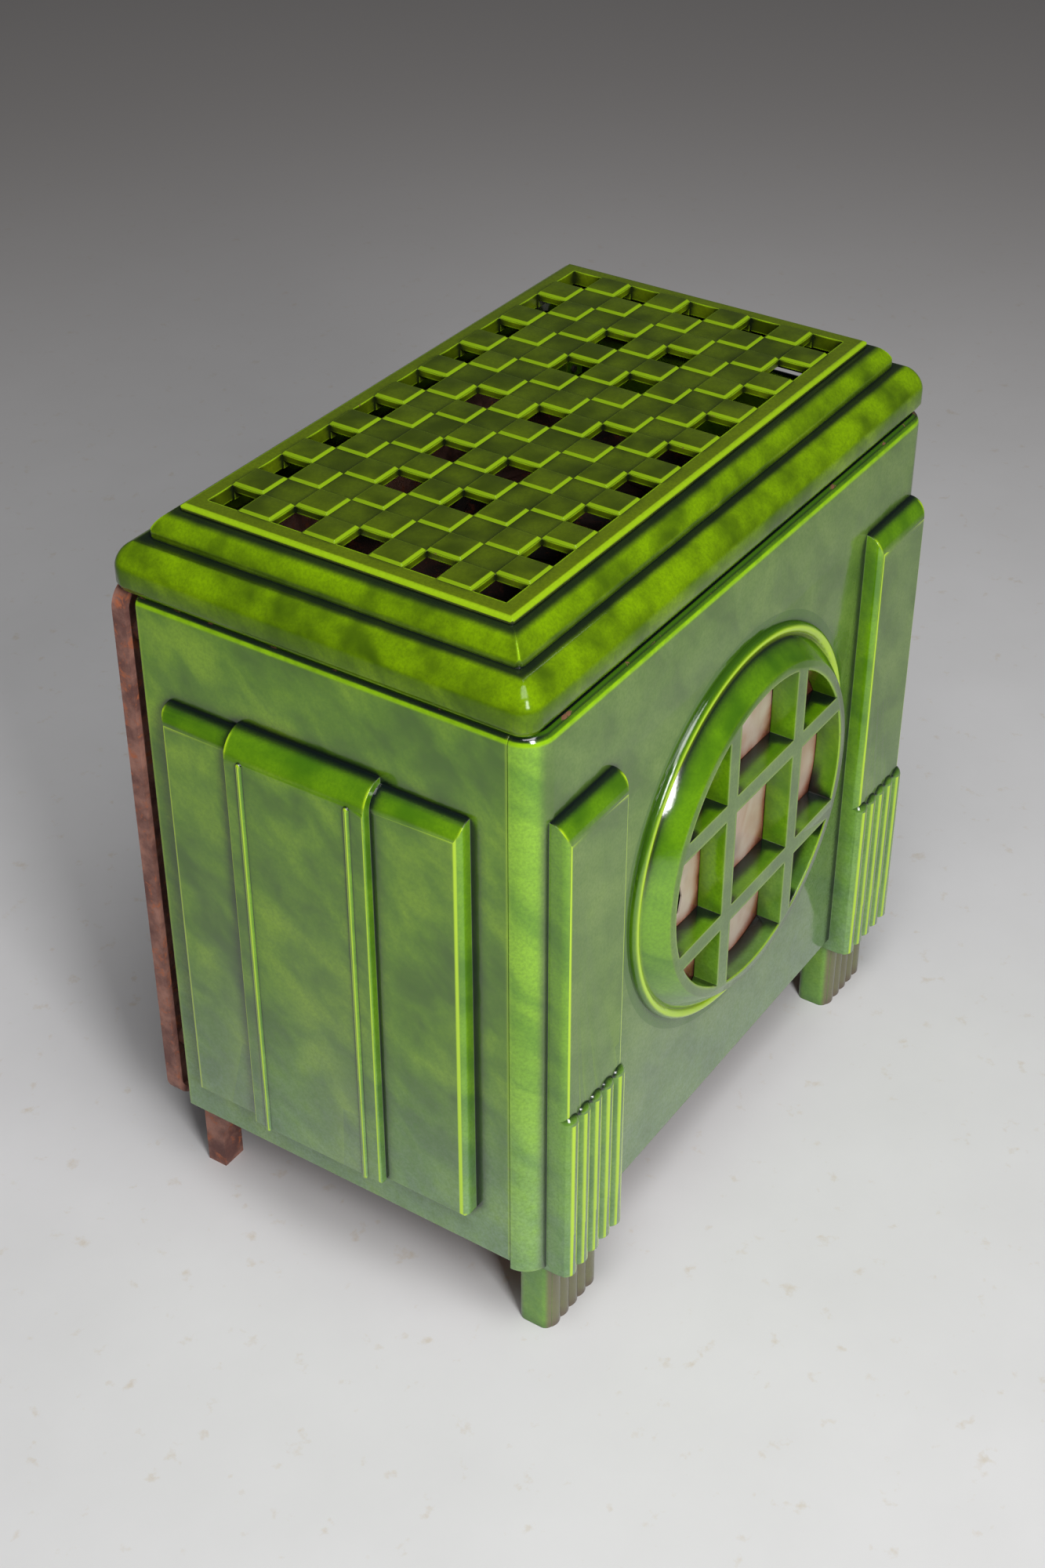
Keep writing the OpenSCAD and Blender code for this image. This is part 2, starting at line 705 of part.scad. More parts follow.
module corner_bolts() {
    color("dimgray") mirror_copy() for (z = bolt_zs) translate([bolt_x, 0, z]) {
        y_rod(bolt_r, seam_y - front_lug - nut_t - 1, seam_y + seam + rear_lug);
        translate([0, seam_y + seam + rear_lug, 0]) rotate([-90, 0, 0])
            cylinder(r = nut_r, h = nut_t, $fn = 6);
        translate([0, seam_y - front_lug - nut_t, 0]) rotate([-90, 0, 0])
            cylinder(r = nut_r, h = nut_t, $fn = 6);
    }
}

// Back casting: a plate with a rim turned forward
tray_top = casing_top + 0.7;
tray_bottom = casing_bottom - 3;
flue_hole = flue_r + flue_step + 4;
ear_foot = 38;
module tray_prism(inset, y0, y1) {
    translate([0, (y0 + y1) / 2, (tray_top + tray_bottom) / 2]) rotate([90, 0, 0])
        post(casing_hx - inset, (tray_top - tray_bottom) / 2 - inset, tray_r - inset, -(y1 - y0) / 2, (y1 - y0) / 2);
}
module back_ear(x) {
    difference() {
        translate([x, 0, 0]) along_x(ear_w) union() {
            translate([hinge_y, hinge_z]) circle(hinge_eye_r);
            polygon([[tray_back - 1, hinge_z + hinge_eye_r - 10], [tray_back + 2, hinge_z + 3],
                [hinge_y, hinge_z + hinge_eye_r], [hinge_y + hinge_eye_r, hinge_z],
                [hinge_y + hinge_eye_r, hinge_z - 8], [tray_back - 1, hinge_z - ear_foot]]);
        }
        translate([0, hinge_y, hinge_z]) x_rod(hinge_pin_r + fit, x - ear_w, x + ear_w);
    }
}
module back_casting() {
    color("saddlebrown") {
        difference() {
            union() {
                difference() {
                    tray_prism(0, tray_front, tray_back);
                    tray_prism(tray_t, tray_front - 1, tray_back - tray_t);
                }
                mirror_copy() for (z = bolt_zs) translate([bolt_x, 0, z])
                    y_rod(8, side_end, tray_back - 1);
            }
            translate([0, 0, flue_z]) y_rod(flue_hole, tray_front, tray_back + 1);
            mirror_copy() for (z = bolt_zs) translate([bolt_x, 0, z])
                y_rod(bolt_r + fit, side_end - 1, tray_back + 1);
        }
        mirror_copy() for (s = [-1, 1])
            back_ear(hinge_x + s * (lug_w / 2 + slack + ear_w / 2));
    }
}
module back_bolts() {
    color("dimgray") mirror_copy() for (z = bolt_zs) translate([bolt_x, 0, z]) {
        y_rod(bolt_r, side_end - rear_lug - 2, tray_back);
        translate([0, tray_back, 0]) rotate([-90, 0, 0]) cylinder(r = nut_r, h = nut_t, $fn = 6);
    }
}

// Base plate, feet and legs
base_hx = casing_hx - wall - 0.5;
base_y0 = inner_front + 0.5;
base_y1 = side_end;
grate_y = fire_front + fire_d / 2;
vent_w = 70;
vent_x = fire_w / 2 + 14;
leg_x = casing_hx - 21.5;
leg_pad = 44;
leg_screws = [side_end - 36, side_end - 54];
foot_x = pil_x0 + 4 + foot_w / 2;
foot_screw_y = inner_front + 11;
leg_t = 5;
foot_flange = 6;
foot_screws = [foot_x - 18, foot_x + 18];
box_screw_x = ash_w / 2 + 9;
box_screws = [-84, 84];
module base_hole(x, y) {
    translate([x, y, base_z - 1]) cylinder(r = screw_r + fit, h = base_t + 2);
}
module base_holes() {
    mirror_copy() {
        for (y = side_pads) base_hole(side_pad_x, y);
        base_hole(front_pad_x, front_pad_y);
        for (y = leg_screws) base_hole(leg_x - 18, y);
        for (x = foot_screws) base_hole(x, foot_screw_y);
        for (y = box_screws) base_hole(box_screw_x, y);
    }
}
module base_plate() {
    color("saddlebrown") difference() {
        span([-base_hx, base_y0, base_z], [base_hx, base_y1, floor_z]);
        span([-grate_w / 2, grate_y - grate_d / 2, base_z - 1], [grate_w / 2, grate_y + grate_d / 2, floor_z + 1]);
        mirror_copy() span([vent_x, -60, base_z - 1], [vent_x + vent_w, 70, floor_z + 1]);
        mirror_copy() translate([base_hx, base_y0, base_z - 1]) cylinder(r = corner_r - wall, h = base_t + 2);
        base_holes();
    }
}
// Screw from below: "down" is what it clamps under the base plate, "up" its length above it
module base_screw(x, y, down, up) {
    translate([x, y, 0]) {
        translate([0, 0, base_z - down]) cylinder(r = screw_r, h = down + base_t + up);
        translate([0, 0, base_z - down - 4]) cylinder(r = 5, h = 4, $fn = 6);
        if (up < 7) translate([0, 0, floor_z]) cylinder(r = 5, h = 4, $fn = 6);
    }
}
module base_screws() {
    color("dimgray") mirror_copy() {
        for (y = side_pads) base_screw(side_pad_x, y, 0, pad_h - 4);
        base_screw(front_pad_x, front_pad_y, 0, pad_h - 4);
        for (y = leg_screws) base_screw(leg_x - 18, y, leg_t, 6);
        for (x = foot_screws) base_screw(x, foot_screw_y, foot_flange, 6);
        for (y = box_screws) base_screw(box_screw_x, y, sheet, 6);
    }
}
foot_top = pil_bottom - 0.4;
foot_front = front_y - 1.4;
foot_pitch = (foot_w - 10) / reeds;
foot_reed_r = (foot_pitch * foot_pitch / 4 + foot_reed * foot_reed) / (2 * foot_reed);
module front_foot() {
    mid = foot_front + foot_reed + foot_d / 2;
    difference() {
        union() {
            translate([foot_x, mid, 0]) post(foot_w / 2, foot_d / 2, 7, 0, foot_top);
            for (k = [0:reeds - 1])
                intersection() {
                    translate([foot_x - foot_w / 2 + 5 + (k + 0.5) * foot_pitch, foot_front + foot_reed_r, 0])
                        cylinder(r = foot_reed_r, h = foot_top);
                    span([foot_x - foot_w / 2 + 5 + k * foot_pitch, foot_front - 1, 0],
                        [foot_x - foot_w / 2 + 5 + (k + 1) * foot_pitch, mid, foot_top]);
                }
            span([foot_x - foot_w / 2 + 7, inner_front + 0.5, foot_top - 1],
                [foot_x + foot_w / 2 - 7, foot_front + foot_reed + foot_d, base_z]);
        }
        span([foot_x - foot_w / 2 + wall, foot_front + foot_reed + wall, -1],
            [foot_x + foot_w / 2 - wall, foot_front + foot_reed + foot_d - wall, foot_top - wall]);
        span([foot_x - foot_w / 2 + 9, inner_front + 4.5, foot_top - 24],
            [foot_x + foot_w / 2 - 9, foot_front + foot_reed + foot_d + 1, base_z - foot_flange]);
        for (x = foot_screws) translate([x, foot_screw_y, base_z - foot_flange - 1])
            cylinder(r = screw_r + fit, h = foot_flange + 2);
    }
}
module front_feet() {
    color("olivedrab") mirror_copy() front_foot();
}
leg_w = 17.5;
leg_y = side_end - 11;
module rear_leg() {
    difference() {
        union() {
            span([leg_x - leg_t, leg_y, 0], [leg_x, leg_y + leg_w, base_z - 0.2]);
            span([leg_x - 22, leg_y, 0], [leg_x, leg_y + leg_t, base_z]);
            span([leg_x - 30, leg_y - leg_pad - 6, base_z - leg_t], [leg_x, leg_y + leg_t, base_z]);
            translate([leg_x - leg_t / 2, 0, 0]) along_x(leg_t)
                polygon([[leg_y - leg_pad, base_z - 1], [leg_y + 1, base_z - 1], [leg_y + 1, base_z - 48],
                    [leg_y - 12, base_z - 22]]);
        }
        for (y = leg_screws) translate([leg_x - 18, y, base_z - leg_t - 1])
            cylinder(r = screw_r + fit, h = leg_t + 2);
    }
}
module rear_legs() {
    color("saddlebrown") mirror_copy() rear_leg();
}

// Fire chamber and what is in it
fire_hx = fire_w / 2;
rope_h = 4;
shell_top = hob_z - rope_h;
throat_r = window_r + 3;
module fire_chamber() {
    color("saddlebrown") difference() {
        span([-fire_hx, fire_front, floor_z], [fire_hx, fire_back, shell_top]);
        span([-fire_hx + fire_t, fire_front + fire_t, floor_z - 1],
            [fire_hx - fire_t, fire_back - fire_t, shell_top + 1]);
        translate([0, 0, window_z]) y_rod(throat_r, fire_front - 1, fire_front + fire_t + 1);
        translate([0, 0, flue_z]) y_rod(flue_r - flue_t, fire_back - fire_t - 1, fire_back + 1);
        flange_places() y_rod(flange_bolt_r + fit, fire_back - fire_t - 1, fire_back + 1);
    }
}
module window_throat() {
    color("saddlebrown") translate([0, 0, window_z]) difference() {
        y_rod(clip_r + 16, inner_front, fire_front);
        y_rod(clip_r + 12, inner_front - 1, fire_front - 4);
        y_rod(throat_r, inner_front, fire_front + 1);
    }
}
module rear_firebrick() {
    color("burlywood") span([-fire_hx + fire_t + 0.3, fire_back - fire_t - brick_t, floor_z],
        [fire_hx - fire_t - 0.3, fire_back - fire_t - 0.3, floor_z + brick_h]);
}
module side_firebricks() {
    color("burlywood") mirror_copy() span([fire_hx - fire_t - brick_t, fire_front + fire_t + 26, floor_z],
        [fire_hx - fire_t - 0.3, fire_back - fire_t - brick_t - 0.3, floor_z + brick_h]);
}
guard_bars = 9;
guard_h = 110;
guard_z = window_z - throat_r - 14;
module fire_guard() {
    y0 = fire_front + fire_t;
    gx = fire_hx - fire_t - 4;
    color("dimgray") {
        for (k = [0:guard_bars - 1])
            translate([(2 * k / (guard_bars - 1) - 1) * (gx - 18), y0 + 4, guard_z + 4])
                cylinder(r = 4, h = guard_h - 8, $fn = 24);
        span([-gx, y0, guard_z], [gx, y0 + 8, guard_z + 10]);
        span([-gx, y0, guard_z + guard_h - 8], [gx, y0 + 8, guard_z + guard_h]);
        for (s = [-1, 1]) span([s * (gx - 8) - 8, y0, floor_z], [s * (gx - 8) + 8, y0 + 8, guard_z + 1]);
    }
}
module baffle() {
    color("dimgray") span([-fire_hx + fire_t + 1, fire_front + baffle_in, floor_z + brick_h],
        [fire_hx - fire_t - 1, fire_back - fire_t - 1, floor_z + brick_h + baffle_t]);
}
module rope_seal() {
    color("gainsboro") difference() {
        span([-fire_hx, fire_front, shell_top], [fire_hx, fire_back, hob_z]);
        span([-fire_hx + fire_t, fire_front + fire_t, shell_top - 1],
            [fire_hx - fire_t, fire_back - fire_t, hob_z + 1]);
    }
}
hob_over = 8;
hob_top = hob_z + hob_t;
feed_y = grate_y;
pivot = [98, 42];
pivot_r = 5;
module cooking_plate() {
    color("saddlebrown") difference() {
        span([-fire_hx - hob_over, fire_front - hob_over, hob_z], [fire_hx + hob_over, fire_back + hob_over, hob_top]);
        translate([0, feed_y, hob_z - 1]) cylinder(r = feed_r, h = hob_t + 2);
        translate([pivot[0], feed_y + pivot[1], hob_z - 1]) cylinder(r = pivot_r + fit, h = hob_t + 2);
    }
}
cover_t = 7;
cover_z = hob_top + rest_gap;
cover_r = feed_r + 12;
module feed_cover() {
    color("dimgray") translate([0, feed_y, cover_z]) difference() {
        union() {
            cylinder(r = cover_r, h = cover_t);
            translate([pivot[0], pivot[1], 0]) cylinder(r = 14, h = cover_t);
            rotate(atan2(pivot[1], pivot[0])) span([0, -14, 0], [norm(pivot), 14, cover_t]);
        }
        translate([pivot[0], pivot[1], -1]) cylinder(r = pivot_r + fit, h = cover_t + 2);
        difference() {
            translate([0, 0, cover_t - 2]) cylinder(r = cover_r - 8, h = 3);
            translate([0, 0, cover_t - 3]) cylinder(r = cover_r - 20, h = 5);
        }
    }
}
module cover_pivot() {
    color("gray") translate([pivot[0], feed_y + pivot[1], 0]) {
        translate([0, 0, hob_z - 2]) cylinder(r = pivot_r, h = hob_t + 2 + cover_t + 2 * rest_gap);
        translate([0, 0, cover_z + cover_t + rest_gap]) cylinder(r = 10, h = 5, $fn = 6);
        translate([0, 0, hob_z - 6]) cylinder(r = 9, h = 6, $fn = 6);
    }
}
module cover_knob() {
    color("gray") translate([0, feed_y, cover_z + cover_t]) {
        cylinder(r = 5, h = 8);
        translate([0, 0, 8]) cylinder(r = 11, h = 6);
    }
}

// Grate
frame_t = 6;
frame_lap = 8;
bar_gap = 13;
module grate_frame() {
    hx = grate_w / 2 + frame_lap;
    hy = grate_d / 2 + frame_lap;
    color("dimgray") translate([0, grate_y, floor_z]) difference() {
        span([-hx, -hy, 0], [hx, hy, frame_t]);
        for (k = [-7:7]) span([k * bar_gap - 3.5, -grate_d / 2 + 4, -1],
            [k * bar_gap + 3.5, grate_d / 2 - 4, frame_t + 1]);
    }
}
moving_w = grate_w - 20;
moving_d = grate_d - shake - 12;
moving_z = floor_z + frame_t + rest_gap;
moving_y1 = grate_y + grate_d / 2 - 4;
moving_t = 9;
module shaker_grate() {
    color("dimgray") difference() {
        span([-moving_w / 2, moving_y1 - moving_d, moving_z], [moving_w / 2, moving_y1, moving_z + moving_t]);
        for (k = [0:6]) span([-moving_w / 2 + 8, moving_y1 - moving_d + 8 + k * (moving_d - 8) / 7, moving_z - 1],
            [moving_w / 2 - 8, moving_y1 - moving_d + 8 + k * (moving_d - 8) / 7 + 8, moving_z + moving_t + 1]);
    }
}
rod_z = base_z - 8;
knob_r = 6;
ash_y0 = front_y + ash_in;
knob_y = ash_y0 - 40;
module shaker_rod() {
    y1 = moving_y1 - moving_d + 7;
    color("gray") {
        translate([0, 0, rod_z]) y_rod(rod_r, knob_y + 14, y1);
        span([-2.5, y1 - 8, rod_z], [2.5, y1, moving_z]);
    }
}
module shaker_knob() {
    color("black") translate([0, knob_y, rod_z]) rotate([-90, 0, 0]) {
        cylinder(r = knob_r - 1.5, h = 14);
        sphere(knob_r);
    }
}

// Ash box, ash pan and air slide
ash_y1 = ash_y0 + ash_d;
ash_hx = ash_w / 2;
mouth_top = rod_z - knob_r - 4;
ash_pan_top = mouth_top - 2;
tab_w = 18;
module ash_box() {
    color("dimgray") difference() {
        union() {
            span([-ash_hx, ash_y0, ash_z], [ash_hx, ash_y1, base_z]);
            for (y = box_screws) span([-ash_hx - tab_w, y - tab_w / 2, base_z - sheet],
                [ash_hx + tab_w, y + tab_w / 2, base_z]);
        }
        span([-ash_hx + sheet, ash_y0 + sheet, ash_z + sheet], [ash_hx - sheet, ash_y1 - sheet, base_z + 1]);
        span([-ash_hx + sheet, ash_y0 - 1, ash_z + sheet], [ash_hx - sheet, ash_y0 + sheet + 1, mouth_top]);
        translate([0, 0, rod_z]) y_rod(rod_r + 0.4, ash_y0 - 1, ash_y0 + sheet + 1);
        mirror_copy() for (y = box_screws) translate([box_screw_x, y, base_z - sheet - 1])
            cylinder(r = screw_r + fit, h = sheet + 2);
    }
}
pan_hx = ash_hx - sheet - 2;
pan_z = ash_z + sheet + rest_gap;
pan_y1 = ash_y1 - sheet - 3;
front_t = 3;
module ash_pan() {
    color("slategray") difference() {
        span([-pan_hx, ash_y0, pan_z], [pan_hx, pan_y1, ash_pan_top]);
        span([-pan_hx + sheet, ash_y0 + sheet, pan_z + sheet], [pan_hx - sheet, pan_y1 - sheet, ash_pan_top + 1]);
        for (k = [-2:2]) span([k * slot_pitch - slot_w / 2, ash_y0 - 1, slot_z],
            [k * slot_pitch + slot_w / 2, ash_y0 + sheet + 1, ash_pan_top + 1]);
    }
}
slot_pitch = 30;
slot_w = 13;
slot_h = 14;
slot_z = ash_z + 16;
pan_face = ash_y0 - rest_gap;
module air_slots(y0, y1) {
    for (k = [-2:2]) span([k * slot_pitch - slot_w / 2, y0 - 1, slot_z],
        [k * slot_pitch + slot_w / 2, y1 + 1, slot_z + slot_h]);
}
slide_t = 2.5;
slide_travel = 15;
slide_hx = 2.5 * slot_pitch + 4;
slide_gap = 0.3;
slide_y1 = pan_face - front_t - slide_gap;
slide_y0 = slide_y1 - slide_t;
rail_h = 6;
slide_z0 = slot_z - 5;
slide_z1 = slot_z + slot_h + 5;
module pan_front() {
    color("saddlebrown") {
        difference() {
            span([-ash_hx + 1, pan_face - front_t, ash_z + 1], [ash_hx - 1, pan_face, mouth_top + 2]);
            air_slots(pan_face - front_t, pan_face);
        }
        span([-pan_hx + 6, pan_face - 0.1, pan_z + 3], [pan_hx - 6, ash_y0, slot_z - 2]);
        for (s = [0, 1]) {
            z = s == 0 ? slide_z0 - slide_gap - rail_h : slide_z1 + slide_gap;
            span([-slide_hx - slide_travel, slide_y0 - slide_gap, z],
                [slide_hx + slide_travel, pan_face - front_t, z + rail_h]);
            lip = s == 0 ? [z, z + rail_h + 2] : [z - 2, z + rail_h];
            span([-slide_hx - slide_travel, slide_y0 - slide_gap - 2, lip[0]],
                [slide_hx + slide_travel, slide_y0 - slide_gap, lip[1]]);
        }
    }
}
module air_slide() {
    color("dimgray") difference() {
        span([-slide_hx, slide_y0, slide_z0], [slide_hx, slide_y1, slide_z1]);
        air_slots(slide_y0, slide_y1);
    }
}
module air_knob() {
    color("black") translate([-slot_pitch / 2, slide_y0 - 10, slot_z + slot_h / 2]) rotate([-90, 0, 0])
        cylinder(r = 4, h = 10);
}
handle_hx = 45;
handle_z = slide_z1 + rail_h / 2 + 0.3;
module pan_handle() {
    y = slide_y0 - slide_gap - 2;
    color("gray") {
        mirror_copy() translate([handle_hx, 0, handle_z]) y_rod(2.6, y - 16, y);
        translate([0, y - 16, handle_z]) x_rod(2.6, -handle_hx - 2.6, handle_hx + 2.6);
    }
}

// Flue spigot and damper
damper_y = tray_back + damper_out;
shoulder_y = damper_y + 9;
hub_x = flue_r + flue_step;
disc_r = flue_r - flue_t - 3;
flange_t = 7;
flange_bolt_r = 3;
module flange_places() {
    for (a = [45:90:315]) translate([0, 0, flue_z]) rotate([0, a, 0])
        translate([0, 0, flue_r + 12]) children();
}
module flue_spigot() {
    color("saddlebrown") translate([0, 0, flue_z]) difference() {
        union() {
            y_rod(flue_r, fire_back, spigot_end);
            y_rod(hub_x, fire_back, shoulder_y);
            y_rod(flue_r + 20, fire_back, fire_back + flange_t);
        }
        y_rod(flue_r - flue_t, fire_back - 1, spigot_end + 1);
        translate([0, damper_y, 0]) x_rod(spindle_r + fit, -hub_x - 1, hub_x + 1);
        translate([0, 0, -flue_z]) flange_places()
            y_rod(flange_bolt_r + fit, fire_back - 1, fire_back + flange_t + 1);
    }
}
module spigot_bolts() {
    color("dimgray") flange_places() {
        y_rod(flange_bolt_r, fire_back - fire_t, fire_back + flange_t);
        translate([0, fire_back + flange_t, 0]) rotate([-90, 0, 0]) cylinder(r = 5.5, h = 4, $fn = 6);
        translate([0, fire_back - fire_t - 3, 0]) rotate([-90, 0, 0]) cylinder(r = 5.5, h = 3, $fn = 6);
    }
}
module damper_disc() {
    color("dimgray") translate([0, damper_y, flue_z]) difference() {
        union() {
            y_rod(disc_r, -1.5, 1.5);
            x_rod(spindle_r + 2.5, -disc_r + 6, disc_r - 6);
        }
        x_rod(spindle_r, -flue_r, flue_r);
    }
}
spindle_x = hub_x + 24;
module damper_spindle() {
    color("gray") translate([0, damper_y, flue_z]) {
        x_rod(spindle_r, -hub_x - 3, spindle_x);
        x_rod(spindle_r + 2.5, -hub_x - 6, -hub_x - slack);
        x_rod(spindle_r + 2.5, hub_x + slack, hub_x + 3);
    }
}
lever_l = 46;
lever_hub = 7.5;
module damper_lever() {
    color("black") translate([0, damper_y, flue_z]) {
        difference() {
            union() {
                x_rod(lever_hub, spindle_x - 10, spindle_x);
                span([spindle_x - 8, -3, -lever_l], [spindle_x - 2, 3, 0]);
            }
            x_rod(spindle_r, spindle_x - 11, spindle_x + 1);
        }
        translate([spindle_x - 5, 0, -lever_l]) sphere(7);
    }
}

module placed() {
    translate([0, frame_shift, 0]) children();
}
placed() front_panel();
placed() front_feet();
placed() left_side_panel();
placed() right_side_panel();
placed() back_casting();
placed() rear_legs();
placed() base_plate();
placed() cornice();
placed() top_grille();
placed() grille_screws();
placed() hinge_pins();
placed() corner_bolts();
placed() back_bolts();
placed() base_screws();
placed() mica_sheets();
placed() mica_ring();
placed() mica_clips();
placed() mica_screws();
placed() window_throat();
placed() fire_chamber();
placed() rear_firebrick();
placed() side_firebricks();
placed() fire_guard();
placed() baffle();
placed() rope_seal();
placed() cooking_plate();
placed() feed_cover();
placed() cover_pivot();
placed() cover_knob();
placed() grate_frame();
placed() shaker_grate();
placed() shaker_rod();
placed() shaker_knob();
placed() ash_box();
placed() ash_pan();
placed() pan_front();
placed() pan_handle();
placed() air_slide();
placed() air_knob();
placed() flue_spigot();
placed() spigot_bolts();
placed() damper_disc();
placed() damper_spindle();
placed() damper_lever();
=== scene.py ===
import json
import math

import bmesh
import bpy
from mathutils import Euler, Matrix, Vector, noise


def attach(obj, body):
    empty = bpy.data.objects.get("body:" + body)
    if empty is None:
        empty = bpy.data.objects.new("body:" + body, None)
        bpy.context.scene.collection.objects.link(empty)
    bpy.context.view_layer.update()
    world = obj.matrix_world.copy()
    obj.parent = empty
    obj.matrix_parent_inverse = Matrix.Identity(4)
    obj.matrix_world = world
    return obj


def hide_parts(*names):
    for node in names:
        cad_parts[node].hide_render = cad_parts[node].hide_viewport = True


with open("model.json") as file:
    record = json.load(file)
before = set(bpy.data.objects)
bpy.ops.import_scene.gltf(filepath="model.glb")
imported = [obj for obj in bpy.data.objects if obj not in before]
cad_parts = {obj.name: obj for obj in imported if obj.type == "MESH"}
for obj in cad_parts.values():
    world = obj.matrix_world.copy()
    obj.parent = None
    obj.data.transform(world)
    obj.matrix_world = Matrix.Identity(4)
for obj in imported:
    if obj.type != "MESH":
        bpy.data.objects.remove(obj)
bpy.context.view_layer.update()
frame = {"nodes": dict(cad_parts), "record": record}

print("stage: frame loaded, nodes", len(frame["nodes"]))

mm = 0.001

# where the photographer stood, found from the squares of the grille
cameraSet = {
    "place": (-1.28353, -0.85217, 1.37506),
    "turn": (54.555, 0.0605, -56.449),
    "lens": 54.305,
    "film": 36,
}
camData = bpy.data.cameras.new("stoveCamera")
camData.sensor_fit = "VERTICAL"
camData.sensor_height = cameraSet["film"]
camData.lens = cameraSet["lens"]
camera = bpy.data.objects.new("stoveCamera", camData)
camera.location = cameraSet["place"]
camera.rotation_euler = Euler([math.radians(a) for a in cameraSet["turn"]])
bpy.context.collection.objects.link(camera)
bpy.context.scene.camera = camera
bpy.context.scene.view_settings.view_transform = "Standard"


def hexLinear(code):
    # sRGB hex to the linear colour that shaders want
    out = []
    for i in (1, 3, 5):
        c = int(code[i:i + 2], 16) / 255
        out.append(c / 12.92 if c <= 0.04045 else ((c + 0.055) / 1.055) ** 2.4)
    return (*out, 1.0)


def perMetre(size):
    # the noise scale whose cells are that many millimetres wide
    return 1 / (size * mm)


def addNode(tree, kind, settings=None, feeds=None):
    node = tree.nodes.new(kind)
    for key, value in (settings or {}).items():
        setattr(node, key, value)
    for key, value in (feeds or {}).items():
        if isinstance(value, bpy.types.NodeSocket):
            tree.links.new(value, node.inputs[key])
        else:
            node.inputs[key].default_value = value
    return node


def newMaterial(name):
    mat = bpy.data.materials.new(name)
    mat.use_nodes = True
    mat.node_tree.nodes.clear()
    return mat, mat.node_tree


def finishMaterial(tree, shader):
    addNode(tree, "ShaderNodeOutputMaterial", feeds={"Surface": shader.outputs[0]})


# Majolica enamel: a clear green lead glass melted over a pale ground coat on cast iron. It is lime where
# it ran thin off a crest, bottle green where it is thicker, and nearly black in hollows, from pooled glaze
# and painted shade.
# Sizes and heights are in metres, the ends of a pair are how open a spot is or where a noise starts and
# stops, and the rest are shares.
plainEnamel = {
    "side": "#74a014", "sideDeep": "#567f12", "sideMost": 0.0, "flatAxis": (0, 0, 1),
    "pool": "#0d1614", "poolMost": 1.0, "bands": [],
    "opal": "#8fa79a", "opalTop": 0.33, "opalMost": 0.0, "grain": 0.34,
    "crestFlat": 1.0, "crestSide": 1.0, "crestLine": None, "cloudy": (0.26, 0.66), "bevelled": 0.0,
    "bare": 0.0, "rough": 0.12, "ior": 1.7, "ring": None, "rim": None, "column": None,
}
enamelLook = {
    "front": {
        **plainEnamel,
        # the front's flat tones are greyer than the sides': painted reflection of the pale floor over the
        # green
        "thin": "#b0d422", "light": "#6f8a3e", "body": "#607d34", "deep": "#4f6a2b",
        "slope": "#5e8c06", "shade": "#3a6406",
        "side": "#6ea00a", "sideDeep": "#4d7e08", "sideMost": 0.95, "flatAxis": (0, 1, 0),
        "hollow": (0.72, 0.955), "opal": "#8a9f92", "opalTop": 0.32, "opalMost": 0.42,
        "crestWide": 0.0034, "crestFlat": 0.3, "crestSide": 0.1,
        "crestLine": {"from": 0.17, "to": 0.2625, "before": -0.1974},
        "ring": {"height": 0.320, "bead": 0.1535, "foot": 0.1665, "before": -0.1964, "slopeMost": 0.6},
        "column": {"from": 0.2625, "light": "#86b81a", "deep": "#5f9110"},
    },
    "sides": {
        **plainEnamel,
        "thin": "#b0d422", "light": "#7ea316", "body": "#5e8612", "deep": "#446616",
        "slope": "#628f06", "shade": "#3f6c05",
        "side": "#6ea00a", "sideDeep": "#4d7e08", "sideMost": 0.95, "flatAxis": (1, 0, 0),
        "hollow": (0.72, 0.955), "opal": "#8ea596", "opalTop": 0.30, "opalMost": 0.55,
        "crestWide": 0.003, "crestFlat": 0.3, "crestSide": 0.1,
        "crestLine": {"from": 0.0, "to": 1.0, "before": 1.0},
    },
    "lid": {
        **plainEnamel,
        "thin": "#9cc818", "light": "#7a9c06", "body": "#587804", "deep": "#3a5606",
        "slope": "#779c04", "shade": "#3a5208",
        "pool": "#0c1412", "hollow": (0.62, 0.90),
        "bands": [(0.5995, 0.6026, 0.61), (0.5826, 0.5845, 0.5853)],
        "crestWide": 0.0025, "cloudy": (0.22, 0.70), "ior": 1.33,
    },
    "grating": {
        **plainEnamel,
        "thin": "#93b814", "light": "#66790c", "body": "#4d5d07", "deep": "#2f3b04",
        "slope": "#546608", "shade": "#344204",
        "pool": "#0a0f0c", "hollow": (0.70, 0.94), "poolMost": 0.9, "grain": 0.3,
        "crestWide": 0.0014, "cloudy": (0.3, 0.7), "bevelled": 0.65, "rough": 0.16, "ior": 1.5,
        "rim": {"halfX": 0.2297, "halfY": 0.1217, "midY": -0.0189, "edge": (0.0093, 0.0108),
                "tone": "#5f7208"},
    },
    "feet": {
        **plainEnamel,
        "thin": "#9cc420", "light": "#7fae1a", "body": "#5c8a10", "deep": "#3c650c",
        "slope": "#659a04", "shade": "#3f6c05",
        "side": "#76a416", "sideDeep": "#568c10", "sideMost": 0.8, "flatAxis": (0, 1, 0),
        "hollow": (0.60, 0.88), "poolMost": 0.9, "opalMost": 0.1,
        "crestWide": 0.003, "crestFlat": 0.1, "bare": 0.75, "rough": 0.2,
    },
}
